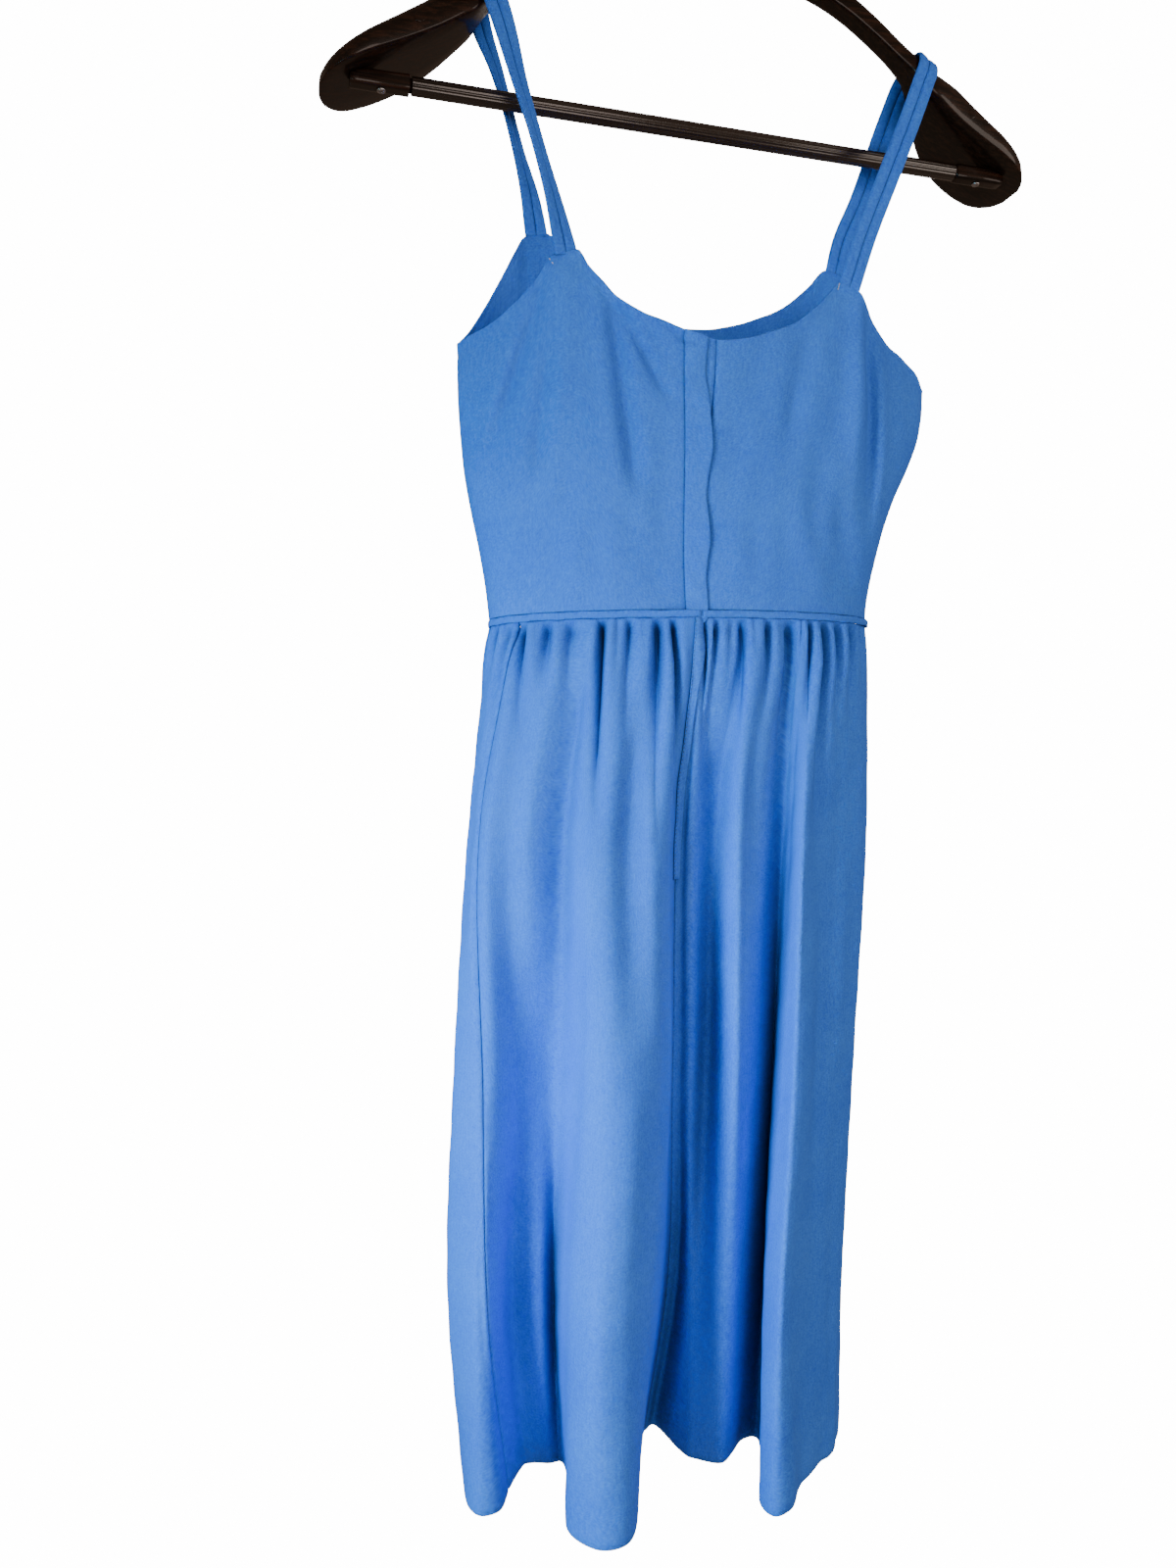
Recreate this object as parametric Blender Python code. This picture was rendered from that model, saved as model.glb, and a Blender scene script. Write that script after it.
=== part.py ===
"""Camisole dress with a gathered skirt, hung by its straps on a wooden hanger.

Lengths in the tables are millimetres. X runs to the right, Y away from the viewer and Z up.
The origin is the inside top of the hook. The back of the dress, with its zip lap, is at -Y.
"""
import math

import bmesh
import bpy
import numpy as np

MM = 0.001
GAP = 0.3

# Cloth
WALL = 1.3
WAIST_MID = (-11.5, 0.0)
WAIST_HALF = (121.5, 50.0)
WAIST_HEIGHT = -506.0
WAIST_TILT = 0.03
PIPING_TALL = 4.3
PIPING_WALL = 1.7
PIPING_STEPS = 120
PIPING_END = 0.0006
HEM_HEIGHT = -1030.5
GATHERS = 54
GATHER_DEPTH = 2.0
GATHER_FADE = 60.0
GATHER_AT_SEAM = 0.55
GATHER_OPENS = 8.0
COLUMNS_PER_GATHER = 4
# Gathers are weaker near the zip lap: where, how far and how weak, as shares round the cloth
CALM_SHIFT = 0.008
CALM_REACH = 0.02
CALM_LEAST = 0.25
# How fold lines are spread along the waist, and how much each level counts for the cloth's width
EVEN_SHARE = 0.35
LEAST_STEP = 0.006
LEVEL_WEIGHTS = ((0, 0.6), (2, 0.13), (3, 0.13), (4, 0.14))
SKIRT_PULL = 0.2
SKIRT_ROWS = (0.0, 0.02, 0.055, 0.12, 0.2, 0.29, 0.42, 0.6, 0.8, 1.0)
LAP_ROWS = 6
BODICE_COLUMNS = {"bodice_back_left": 24, "bodice_back_right": 22, "bodice_front": 46}
BODICE_ROWS = (0.0, 0.1, 0.24, 0.4, 0.56, 0.7, 0.82, 0.92, 1.0)
BODICE_HALF_DEPTH = 48.0
UNDERARM_HEIGHT = -347.0
LAP_LEFT = -28.0
LAP_WIDTH = 12.6
LAP_WALL = 1.1
LAP_STAND = 0.1
SEAM_SHIFT = 0.006
LAP_OVER_PIPING = 0.3
LAP_COLUMNS = 4

# Straps
TUBE_HALF = (3.5, 1.2)
TUBE_SPACING = 7.4
TUBE_SIDES = 8
# Direction across the pair of tubes, where it lies on the arm and where it hangs
ACROSS_ON_ARM = (0.82, 0.57)
ACROSS_HUNG = (0.96, 0.27)
HUNG_BELOW = -200.0
ON_ARM_FROM = -130.0

# Hanger
HOOK_ROD = 2.0
HOOK_RADIUS = 20.0
COLLAR_RADII = (2.4, 5.0)
COLLAR_TALL = 6.0
BAR_HEIGHT = -199.0
BAR_BACK = 3.5
BAR_RADIUS = 4.0
BAR_BLOCK = 4.8
BAR_BLOCK_FROM = 180.0
BAR_TIP = 214.0
GRIP_RADII = (4.3, 5.2)
SCREW_AT = 196.0
SCREW_RADIUS = 2.6

# Fold lines of the near side of the skirt, left to right: x and y on four levels
SKIRT_LEVELS = (-508.6, -615.0, -777.0, -924.0, HEM_HEIGHT)
NEAR_FOLDS = (
    # name, hip x, hip y, knee x, knee y, low x, low y, hem x, hem y
    ("left_edge", -143, 6, -152, 14, -152, 30, -141, 43),
    ("left_turn", -144, -6, -152, -8, -150, 0, -144, 3),
    ("left_crest", -144, -11, -147, -22, -144, -15, -137, -5),
    ("left_round", -143, -13, -144.5, -25, -140, -16, -127, -2),
    ("left_seam", -141, -16, -142, -26, -136, -15, -118.5, 16),
    ("seam_side", -138, -24, -136, -26, -129, -4, -108, 34),
    ("left_valley", -125, -27, -118, -12, -116, 14, -99, 40),
    ("minor_crest", -117, -35, -106, -8, -102, 8, -90, 37),
    ("valley_end", -94, -30, -92, -12, -90, 14, -80, 33),
    ("wide_wall", -88, -41, -89, -32, -91, -12, -83.6, 6),
    ("wide_turn", -83, -46, -87, -48, -93, -38, -93.5, -30),
    ("wide_crest", -74, -48, -77, -58, -87, -58, -84, -51),
    ("wide_top", -60, -43, -64, -58, -72, -60, -66, -53),
    ("wide_end", -48, -48, -48, -50, -56, -50, -55, -37),
    ("deep_wall", -36, -42, -35, -36, -42, -30, -38, 12),
    ("back_seam", -26, -31, -22, -8, -15, 22, -19, 55),
    ("valley_floor", -22, -31, -17, -6, -8, 24, -11, 61),
    ("lap_crest", -18, -33, -12, -10, -7, 10, -5, 30),
    ("lap_side", 1, -26, 4, -4, 1, 2, 3, 16),
    ("mid_crest", 7, -41, 10, -28, 11, -12, 16, 7),
    ("mid_side", 15, -38, 18, -24, 25, -6, 27, 17),
    ("mid_valley", 24, -34, 30, -16, 39, 6, 38, 28),
    ("right_valley", 44, -24, 46, -4, 44, 4, 48.5, 23),
    ("right_wall", 47, -29, 43, -16, 34, -16, 37, -7),
    ("right_turn", 48, -34, 40, -32, 27, -38, 22.5, -38),
    ("right_crest", 50, -40, 39, -48, 27, -54, 26.5, -51.5),
    ("crest_round", 53, -39, 43, -47, 32, -52, 37, -48),
    ("crest_side", 58, -35, 50, -42, 41, -44, 50, -31.5),
    ("right_slope", 70, -28, 63, -30, 58, -28, 62, -20),
    ("last_side", 79, -24, 72, -27, 70, -20, 75, -9),
    ("last_crest", 91, -17, 82, -22, 79, -14, 84, -4),
    ("right_seam", 113, 2, 103.5, 2, 98, 6, 96, 10),
)
# Fold lines of the far side, right to left: x and y at the hem
FAR_FOLDS = (
    ("far_first_crest", 107, 30),
    ("far_first_valley", 96, 46),
    ("far_second_side", 84, 52),
    ("far_second_crest", 74, 76),
    ("far_second_end", 60, 84),
    ("far_second_valley", 50, 66),
    ("far_third_side", 34, 62),
    ("far_third_crest", 22, 86),
    ("far_third_top", 8, 98),
    ("far_third_end", -12, 98),
    ("far_third_valley", -28, 80),
    ("far_fourth_side", -42, 74),
    ("far_fourth_crest", -54, 92),
    ("far_fourth_end", -70, 90),
    ("far_fourth_valley", -82, 66),
    ("far_fifth_side", -98, 62),
    ("far_fifth_crest", -112, 80),
    ("far_fifth_end", -130, 74),
)
FAR_SHARES = (0.45, 0.75, 0.92, 1.0)

# Half widths of the bodice: height, left x, right x
BODICE_SIDES = (
    (-506, -133, 108),
    (-489, -135, 109.5),
    (-466, -139, 115),
    (-443, -144, 122),
    (-421, -148, 130.5),
    (-402, -150, 140),
    (-382, -151.5, 148.5),
    (-362, -152, 152.5),
    (-346, -152, 153),
)
# Top edge of the near side, left underarm to right underarm: x, y, z
NEAR_EDGE = (
    (-152, 0, -347),
    (-146, -6, -344),
    (-135, -14, -339),
    (-125, -21, -331),
    (-116, -26, -322),
    (-108, -31, -311),
    (-104.5, -34, -305),
    (-97, -35, -302.4),
    (-88.6, -36, -300.2),
    (-84, -37, -307.5),
    (-76, -39, -317),
    (-68, -41, -325),
    (-56, -43, -333),
    (-37, -46, -340),
    (-21, -48, -345),
    (-11, -48, -347),
    (10, -46, -344),
    (28, -44, -337),
    (43, -42, -330),
    (54, -40, -321),
    (63, -38, -313),
    (70, -36, -305),
    (75.4, -35, -299.6),
    (83, -35, -301.6),
    (90.4, -34, -304),
    (93.6, -32, -307.5),
    (98, -28, -311),
    (107, -22, -319),
    (120, -15, -327),
    (134, -9, -332),
    (146, -4, -338),
    (153, 0, -347),
)
# Top edge of the far side, right underarm to left underarm: x, y, z
FAR_EDGE = (
    (153, 0, -347),
    (148, 3, -341),
    (136, 10, -321),
    (124, 17, -298),
    (116, 22, -278),
    (112, 25, -268.4),
    (104.6, 25.4, -265.6),
    (97.6, 26, -264.2),
    (86, 28, -275.6),
    (69, 31, -290),
    (50, 33, -299),
    (32, 35, -305),
    (16, 36, -308),
    (3, 36, -309),
    (-14, 35, -307),
    (-42, 33, -300),
    (-64, 31, -291),
    (-80, 28, -279),
    (-92, 26, -263.6),
    (-99.4, 25.4, -265.6),
    (-106.6, 25, -268),
    (-112, 22, -277),
    (-122, 17, -297),
    (-134, 10, -320),
    (-147, 3, -341),
    (-152, 0, -347),
)
# Soft troughs that hang in the near side of the bodice: top x, z, bottom x, z, half width, depth
NEAR_TROUGHS = (
    (-106, -316, -136, -410, 8, 3.5),
    (-104, -330, -112, -430, 6, 2.0),
    (-72, -322, -56, -436, 9, 3.5),
    (-66, -336, -34, -384, 6, 2.5),
    (98, -314, 102, -440, 8, 4.0),
    (56, -326, 36, -404, 9, 2.0),
)
FAR_TROUGHS = (
    (100, -280, 128, -390, 9, 3.5),
    (78, -300, 50, -400, 9, 2.5),
    (-100, -282, -124, -400, 9, 3.5),
    (-76, -300, -44, -410, 9, 2.5),
    (10, -330, 4, -420, 10, 1.5),
)

# Strap paths from the back edge over the arm to the front edge: x, y, z, twist in degrees
LEFT_STRAP = (
    (-96.4, -35.4, -300.9, 10),
    (-103, -33.8, -272, 34),
    (-113, -31.8, -236, 44),
    (-122.5, -29.8, -204, 34),
    (-132.5, -28.2, -168, 8),
    (-137.6, -27, -153, 0),
    (-140.3, -24, -145.2, 0),
    (-141.1, -18, -141.9, 0),
    (-141.3, -11, -141.1, 0),
    (-141.1, -4.2, -142.1, 0),
    (-139.6, 4.6, -146.4, -4),
    (-136, 9.6, -155, -16),
    (-127.6, 12.4, -174, -38),
    (-118.2, 15.8, -200, -48),
    (-111, 18.8, -222, -44),
    (-103.6, 22.4, -245, -22),
    (-99.4, 25.5, -264.1, 0),
)
RIGHT_STRAP = (
    (82.7, -35, -300.1, 0),
    (93.4, -33.4, -270, 0),
    (110.6, -31.4, -229, 0),
    (128.2, -29.6, -187, 0),
    (137.6, -28.6, -163, 0),
    (141.4, -27.6, -153.4, 0),
    (143.3, -23.8, -146.6, 0),
    (143.7, -16, -143.6, 0),
    (143.8, -9, -143, 0),
    (143.7, -1.4, -143.8, 0),
    (142.7, 7, -147.8, 0),
    (140.6, 12.2, -156, 0),
    (135, 13.8, -171, 0),
    (118.6, 19.6, -220, 0),
    (107.6, 23.4, -248, 0),
    (104.6, 25.5, -263.9, 0),
)

# Sections of the hanger arm: distance from the middle, y, underside z, top z, half width
ARM_SECTIONS = (
    (0, -1, -96, -80, 7.6),
    (14, -1.4, -96.4, -80.6, 7.4),
    (32, -3.4, -98.5, -84, 7),
    (56, -7.4, -104.4, -91, 6.6),
    (86, -11.6, -118, -103, 6.5),
    (112, -13.6, -135.6, -121, 6.8),
    (128, -14.2, -148.2, -134.2, 7.6),
    (136, -13.8, -155, -140.4, 9.4),
    (141, -12.4, -161.4, -143.8, 12.4),
    (146, -10.2, -166.8, -147, 15.6),
    (152, -6.6, -170.4, -149.8, 18.8),
    (161, -0.8, -175.2, -154.2, 22.8),
    (171, 4.6, -180, -159.6, 26.2),
    (182, 8.8, -185, -166, 28.8),
    (194, 11.4, -190.2, -173.2, 30.2),
    (206, 12.8, -195.2, -180.6, 30.2),
    (216, 13.6, -199.2, -187.4, 27.6),
    (223, 13.8, -201.6, -192.2, 22.2),
    (228, 13.8, -203, -196, 14.6),
    (230, 13.8, -203.4, -197.8, 8.6),
)
# Outlines of those sections, for the slim arm and for its wide end: across as a share of the
# half width, up as a share of the height
ARM_PROFILE = (
    (-0.86, 0.0),
    (-1.0, 0.09),
    (-1.0, 0.36),
    (-0.88, 0.68),
    (-0.56, 0.91),
    (0.0, 1.0),
    (0.56, 0.91),
    (0.88, 0.68),
    (1.0, 0.36),
    (1.0, 0.09),
    (0.86, 0.0),
)
END_PROFILE = (
    (-0.9, 0.0),
    (-1.0, 0.07),
    (-1.0, 0.6),
    (-0.95, 0.86),
    (-0.72, 1.0),
    (0.0, 1.0),
    (0.72, 1.0),
    (0.95, 0.86),
    (1.0, 0.6),
    (1.0, 0.07),
    (0.9, 0.0),
)
END_FROM = 150.0
END_FULL = 166.0

COLOURS = {
    # base colour, metallic, roughness
    "cloth": ((0.17, 0.36, 0.78), 0.0, 0.85),
    "wood": ((0.035, 0.012, 0.008), 0.0, 0.25),
    "chrome": ((0.75, 0.75, 0.77), 1.0, 0.15),
    "steel": ((0.55, 0.55, 0.57), 1.0, 0.35),
    "plastic": ((0.05, 0.045, 0.045), 0.0, 0.2),
}


# Helpers: curves

def smooth_curve(knots, values, at, period=None):
    """Values read off a smooth curve through the knots, closed on itself if period is given."""
    knots = np.asarray(knots, float)
    values = np.asarray(values, float)
    at = np.asarray(at, float)
    if period:
        at = np.mod(at - knots[0], period) + knots[0]
        knots = np.concatenate([[knots[-1] - period], knots, [knots[0] + period, knots[1] + period]])
        values = np.concatenate([values[-1:], values, values[:2]])
    step = np.diff(knots)[:, None]
    slope = np.diff(values, axis=0) / step
    tangent = np.empty_like(values)
    tangent[1:-1] = (slope[:-1] * step[1:] + slope[1:] * step[:-1]) / (step[:-1] + step[1:])
    tangent[0] = slope[0]
    tangent[-1] = slope[-1]
    low = np.clip(np.searchsorted(knots, at, side="right") - 1, 0, len(knots) - 2)
    h = step[low]
    t = ((at - knots[low])[:, None]) / h
    near = (1 + 2 * t) * (1 - t) ** 2 * values[low] + t * (1 - t) ** 2 * h * tangent[low]
    far = t * t * (3 - 2 * t) * values[low + 1] + t * t * (t - 1) * h * tangent[low + 1]
    return near + far


def path_lengths(points):
    """Length of the path up to each point."""
    steps = np.linalg.norm(np.diff(np.asarray(points, float), axis=0), axis=1)
    return np.concatenate([[0.0], np.cumsum(steps)])


def waist_height(x):
    """Height of the waist seam, which tilts a little."""
    return WAIST_HEIGHT + WAIST_TILT * (x - WAIST_MID[0])


def waist_point(share):
    """Point of the waist ellipse: share 0 is the left side, 0.5 the right side, the near half first."""
    angle = math.pi + 2 * math.pi * np.asarray(share, float)
    x = WAIST_MID[0] + WAIST_HALF[0] * np.cos(angle)
    y = WAIST_MID[1] + WAIST_HALF[1] * np.sin(angle)
    return np.stack([x, y], axis=-1)


def waist_share(x, near):
    """Share round the waist ellipse of the point at x on the near or the far half."""
    across = np.clip((x - WAIST_MID[0]) / WAIST_HALF[0], -1.0, 1.0)
    half = math.acos(-across) / (2 * math.pi)
    return half if near else 1.0 - half


# Helpers: meshes

def material(part_name, stuff):
    """The plain material of one part, made of one kind of stuff."""
    made = bpy.data.materials.new(part_name + "_" + stuff)
    made.use_nodes = True
    colour, metallic, roughness = COLOURS[stuff]
    shader = made.node_tree.nodes["Principled BSDF"]
    shader.inputs["Base Color"].default_value = (*colour, 1.0)
    shader.inputs["Metallic"].default_value = metallic
    shader.inputs["Roughness"].default_value = roughness
    return made


def add_object(name, points, faces, stuff):
    """A closed body from points in millimetres and faces, its faces turned outwards."""
    mesh = bpy.data.meshes.new(name)
    mesh.from_pydata([tuple(float(c) * MM for c in p) for p in points], [], faces)
    work = bmesh.new()
    work.from_mesh(mesh)
    bmesh.ops.recalc_face_normals(work, faces=work.faces)
    work.to_mesh(mesh)
    work.free()
    mesh.materials.append(material(name, stuff))
    made = bpy.data.objects.new(name, mesh)
    bpy.context.scene.collection.objects.link(made)
    return made


def grid_solid(name, outer, inner, stuff):
    """A sheet with a wall: two grids of the same size, rows by columns, closed round the border."""
    rows, columns = outer.shape[:2]
    points = np.concatenate([outer.reshape(-1, 3), inner.reshape(-1, 3)])
    offset = rows * columns
    faces = []
    for r in range(rows - 1):
        for c in range(columns - 1):
            a = r * columns + c
            quad = (a, a + 1, a + columns + 1, a + columns)
            faces.append(quad)
            faces.append(tuple(offset + v for v in reversed(quad)))
    rim = list(range(columns))
    rim += [r * columns + columns - 1 for r in range(1, rows)]
    rim += [(rows - 1) * columns + c for c in range(columns - 2, -1, -1)]
    rim += [r * columns for r in range(rows - 2, 0, -1)]
    for k, a in enumerate(rim):
        b = rim[(k + 1) % len(rim)]
        faces.append((a, offset + a, offset + b, b))
    return add_object(name, points, faces, stuff)


def tube_solid(name, rings, stuff):
    """A rod through rings of points, with flat ends."""
    count = len(rings[0])
    points = [p for ring in rings for p in ring]
    faces = []
    for r in range(len(rings) - 1):
        for k in range(count):
            a = r * count + k
            b = r * count + (k + 1) % count
            faces.append((a, b, b + count, a + count))
    faces.append(tuple(range(count)))
    faces.append(tuple((len(rings) - 1) * count + k for k in reversed(range(count))))
    return add_object(name, points, faces, stuff)


def sleeve_solid(name, centre, axis, length, radii, sides, stuff):
    """A straight sleeve with a hole along it, along X or Z from its centre."""
    inner, outer = radii
    profile = ((-length / 2, inner), (-length / 2, outer), (length / 2, outer), (length / 2, inner))
    points = []
    for k in range(sides):
        angle = 2 * math.pi * k / sides
        for along, radius in profile:
            u, v = radius * math.cos(angle), radius * math.sin(angle)
            offset = (along, u, v) if axis == "X" else (u, v, along)
            points.append(tuple(c + o for c, o in zip(centre, offset)))
    faces = []
    for k in range(sides):
        n = (k + 1) % sides
        for j in range(4):
            m = (j + 1) % 4
            faces.append((k * 4 + j, k * 4 + m, n * 4 + m, n * 4 + j))
    return add_object(name, points, faces, stuff)


def pull_in(grid, distance):
    """Moves the first and the last column of a grid inwards, so that seams keep their gap."""
    grid = grid.copy()
    for edge, inside in ((0, 1), (-1, -2)):
        away = grid[:, inside] - grid[:, edge]
        grid[:, edge] += distance * away / np.linalg.norm(away, axis=1)[:, None]
    return grid


def surface_normals(grid, closed):
    """Unit normals of a grid whose columns run anticlockwise and whose rows run down."""
    if closed:
        across = np.roll(grid, -1, axis=1) - np.roll(grid, 1, axis=1)
    else:
        across = np.gradient(grid, axis=1)
    down = np.gradient(grid, axis=0)
    normal = np.cross(down, across)
    return normal / np.linalg.norm(normal, axis=2)[:, :, None]


# Skirt

def skirt_controls():
    """Fold lines round the skirt: for each one x and y on every level, waist first."""
    lines = []
    hip_left, hip_right = NEAR_FOLDS[0][1], NEAR_FOLDS[-1][1]
    last_share = -1.0
    for index, row in enumerate(NEAR_FOLDS):
        levels = [(row[1], row[2]), (row[3], row[4]), (row[5], row[6]), (row[7], row[8])]
        even = index / (len(NEAR_FOLDS) - 1)
        by_hip = (row[1] - hip_left) / (hip_right - hip_left)
        x = WAIST_MID[0] + WAIST_HALF[0] * (2 * (EVEN_SHARE * even + (1 - EVEN_SHARE) * by_hip) - 1)
        share = max(waist_share(x, True), last_share + LEAST_STEP)
        last_share = share
        lines.append([tuple(waist_point(share))] + levels)
    for index, (_, x, y) in enumerate(FAR_FOLDS):
        share = 0.5 + 0.5 * (index + 1) / (len(FAR_FOLDS) + 1)
        top = waist_point(share)
        levels = [tuple(top * (1 - s) + np.array((x, y)) * s) for s in FAR_SHARES]
        lines.append([tuple(top)] + levels)
    return np.array(lines)


def skirt_parameters(controls):
    """Position of each fold line round the cloth, from 0 to 1, and where the three seams are."""
    loops = np.concatenate([controls, controls[:1]])
    shares = []
    for level, weight in LEVEL_WEIGHTS:
        lengths = path_lengths(loops[:, level])
        shares.append(weight * lengths / lengths[-1])
    position = np.sum(shares, axis=0)[:-1]
    names = [row[0] for row in NEAR_FOLDS]
    return position, {name: position[names.index(name)] for name in ("left_seam", "back_seam", "right_seam")}


def skirt_surface(positions, drops):
    """Points of the skirt's middle surface: a row for each drop from waist (0) to hem (1)."""
    controls = skirt_controls()
    knots, seams = skirt_parameters(controls)
    levels = -np.array(SKIRT_LEVELS)
    grid = np.empty((len(drops), len(positions), 3))
    waist_x = smooth_curve(knots, controls[:, 0], positions, 1.0)[:, 0]
    for r, drop in enumerate(drops):
        z = SKIRT_LEVELS[0] + drop * (HEM_HEIGHT - SKIRT_LEVELS[0])
        flat = controls.transpose(1, 0, 2).reshape(len(levels), -1)
        ring = smooth_curve(levels, flat, [-z])[0].reshape(-1, 2)
        xy = smooth_curve(knots, ring, positions, 1.0)
        below = SKIRT_LEVELS[0] - z
        size = GATHER_DEPTH * math.exp(-below / GATHER_FADE)
        size *= GATHER_AT_SEAM + (1 - GATHER_AT_SEAM) * min(1.0, below / GATHER_OPENS)
        around = np.roll(xy, -1, axis=0) - np.roll(xy, 1, axis=0)
        outward = np.stack([around[:, 1], -around[:, 0]], axis=1)
        outward /= np.linalg.norm(outward, axis=1)[:, None]
        phase = 2 * math.pi * GATHERS * (positions - seams["left_seam"])
        uneven = 0.75 + 0.25 * np.cos(5 * 2 * math.pi * positions + 1.0)
        away = np.abs(positions - seams["back_seam"] - CALM_SHIFT)
        calm = np.clip(away / CALM_REACH, CALM_LEAST, 1.0)
        lift = -size * uneven * calm * np.cos(phase)
        grid[r, :, :2] = xy + outward * lift[:, None]
        tilt = WAIST_TILT * (waist_x - WAIST_MID[0]) * (1 - drop)
        grid[r, :, 2] = z + tilt
    return grid


def skirt_positions():
    """Columns round the skirt, whole numbers of them between seams."""
    _, seams = skirt_parameters(skirt_controls())
    stops = [seams["left_seam"], seams["back_seam"], seams["right_seam"], seams["left_seam"] + 1.0]
    positions, cuts = [], [0]
    for start, end in zip(stops, stops[1:]):
        count = round(GATHERS * COLUMNS_PER_GATHER * (end - start))
        positions += list(start + (end - start) * np.arange(count) / count)
        cuts.append(len(positions))
    return np.array(positions), cuts


def build_skirt():
    """Three gathered panels; returns the outer surface for the lap that lies on it."""
    positions, cuts = skirt_positions()
    middle = skirt_surface(np.mod(positions, 1.0), SKIRT_ROWS)
    normals = surface_normals(middle, True)
    outer = middle + normals * WALL / 2
    inner = middle - normals * WALL / 2
    names = ("skirt_back_left", "skirt_back_right", "skirt_front")
    for name, start, end in zip(names, cuts, cuts[1:]):
        pick = np.arange(start, end + 1) % len(positions)
        grid_solid(name, *[pull_in(wall[:, pick], SKIRT_PULL) for wall in (outer, inner)], "cloth")


# Bodice

def bodice_ring(share, z, near):
    """A point of the bodice's middle surface, share 0 at one side seam and 1 at the other."""
    table = np.array(BODICE_SIDES, float)
    left, right = smooth_curve(table[:, 0], table[:, 1:], [min(z, UNDERARM_HEIGHT)])[0]
    fill = np.clip((z - WAIST_HEIGHT) / (UNDERARM_HEIGHT - WAIST_HEIGHT), 0.0, 1.0)
    depth = WAIST_HALF[1] + (BODICE_HALF_DEPTH - WAIST_HALF[1]) * fill
    angle = math.pi * share
    mid, half = (left + right) / 2, (right - left) / 2
    side = -1.0 if near else 1.0
    return np.array([mid + side * half * math.cos(angle), side * depth * math.sin(angle)])


def trough_depth(x, z, troughs):
    """How far the soft troughs push the cloth in at one point."""
    total = 0.0
    for top_x, top_z, low_x, low_z, width, depth in troughs:
        along = (z - top_z) / (low_z - top_z)
        centre = top_x + (low_x - top_x) * along
        ends = max(0.0, 1.0 - (2 * along - 1.0) ** 4) if 0.0 <= along <= 1.0 else 0.0
        total += depth * ends * math.exp(-((x - centre) / width) ** 2)
    return total


def bodice_surface(edge, near, shares, rows):
    """Grid of one side of the bodice from its top edge down to the waist."""
    edge = np.array(edge, float)
    lengths = path_lengths(edge)
    dense = smooth_curve(lengths, edge, np.linspace(0, lengths[-1], 600))
    table = np.array(BODICE_SIDES, float)
    found = []
    for x, _, z in dense:
        left, right = smooth_curve(table[:, 0], table[:, 1:], [min(z, UNDERARM_HEIGHT)])[0]
        across = np.clip((x - (left + right) / 2) / ((right - left) / 2), -1.0, 1.0)
        found.append(math.acos(-across if near else across) / math.pi)
    found = np.maximum.accumulate(np.array(found) + np.arange(len(found)) * 1e-7)
    tops = np.stack([np.interp(shares, found, dense[:, k]) for k in range(3)], axis=1)
    grid = np.empty((len(rows), len(shares), 3))
    for c, (share, top) in enumerate(zip(shares, tops)):
        base_x = bodice_ring(share, WAIST_HEIGHT, near)[0]
        base_z = waist_height(base_x) + PIPING_TALL / 2 + GAP
        shift = top[:2] - bodice_ring(share, top[2], near)
        for r, fall in enumerate(rows):
            z = top[2] + (base_z - top[2]) * fall
            xy = bodice_ring(share, z, near) + shift * (1 - fall) ** 2
            push = trough_depth(xy[0], z, NEAR_TROUGHS if near else FAR_TROUGHS)
            xy[1] += push if near else -push
            grid[r, c] = (xy[0], xy[1], z)
    return grid


def bodice_walls(grid, side):
    """Outer and inner surface of the near (-1) or the far (1) side, clear of the other one."""
    normals = surface_normals(grid, False)
    for column in (0, -1):
        sideways = math.copysign(1.0, grid[0, column, 0])
        normals[:, column] = (sideways, 0.0, 0.0)
    walls = grid + normals * WALL / 2, grid - normals * WALL / 2
    for wall in walls:
        wall[:, :, 1] = side * np.maximum(side * wall[:, :, 1], GAP / 2)
    return walls


def lap_shares():
    """Shares across the near side of the lap's two edges and the seam under it."""
    left = waist_share(LAP_LEFT, True) * 2
    right = waist_share(LAP_LEFT + LAP_WIDTH, True) * 2
    return left, right, (left + right) / 2 + SEAM_SHIFT


def build_bodice():
    """Front panel, two back panels and the zip lap."""
    _, _, seam = lap_shares()
    count = BODICE_COLUMNS["bodice_back_left"]
    left = np.linspace(0, 1, count + 1) * seam
    right = seam + np.linspace(0, 1, BODICE_COLUMNS["bodice_back_right"] + 1) * (1 - seam)
    near = bodice_surface(NEAR_EDGE, True, np.concatenate([left, right[1:]]), BODICE_ROWS)
    outer, inner = bodice_walls(near, -1.0)
    seam_gap = GAP / 2
    left, right = slice(0, count + 1), slice(count, None)
    for name, part in (("bodice_back_left", left), ("bodice_back_right", right)):
        walls = [pull_in(wall[:, part], seam_gap) for wall in (outer, inner)]
        for wall in walls:
            wall[:, :, 1] = np.minimum(wall[:, :, 1], -seam_gap)
        grid_solid(name, *walls, "cloth")
    shares = np.linspace(0, 1, BODICE_COLUMNS["bodice_front"] + 1)
    outer, inner = bodice_walls(bodice_surface(FAR_EDGE, False, shares, BODICE_ROWS), 1.0)
    grid_solid("bodice_front", outer, inner, "cloth")


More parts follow.
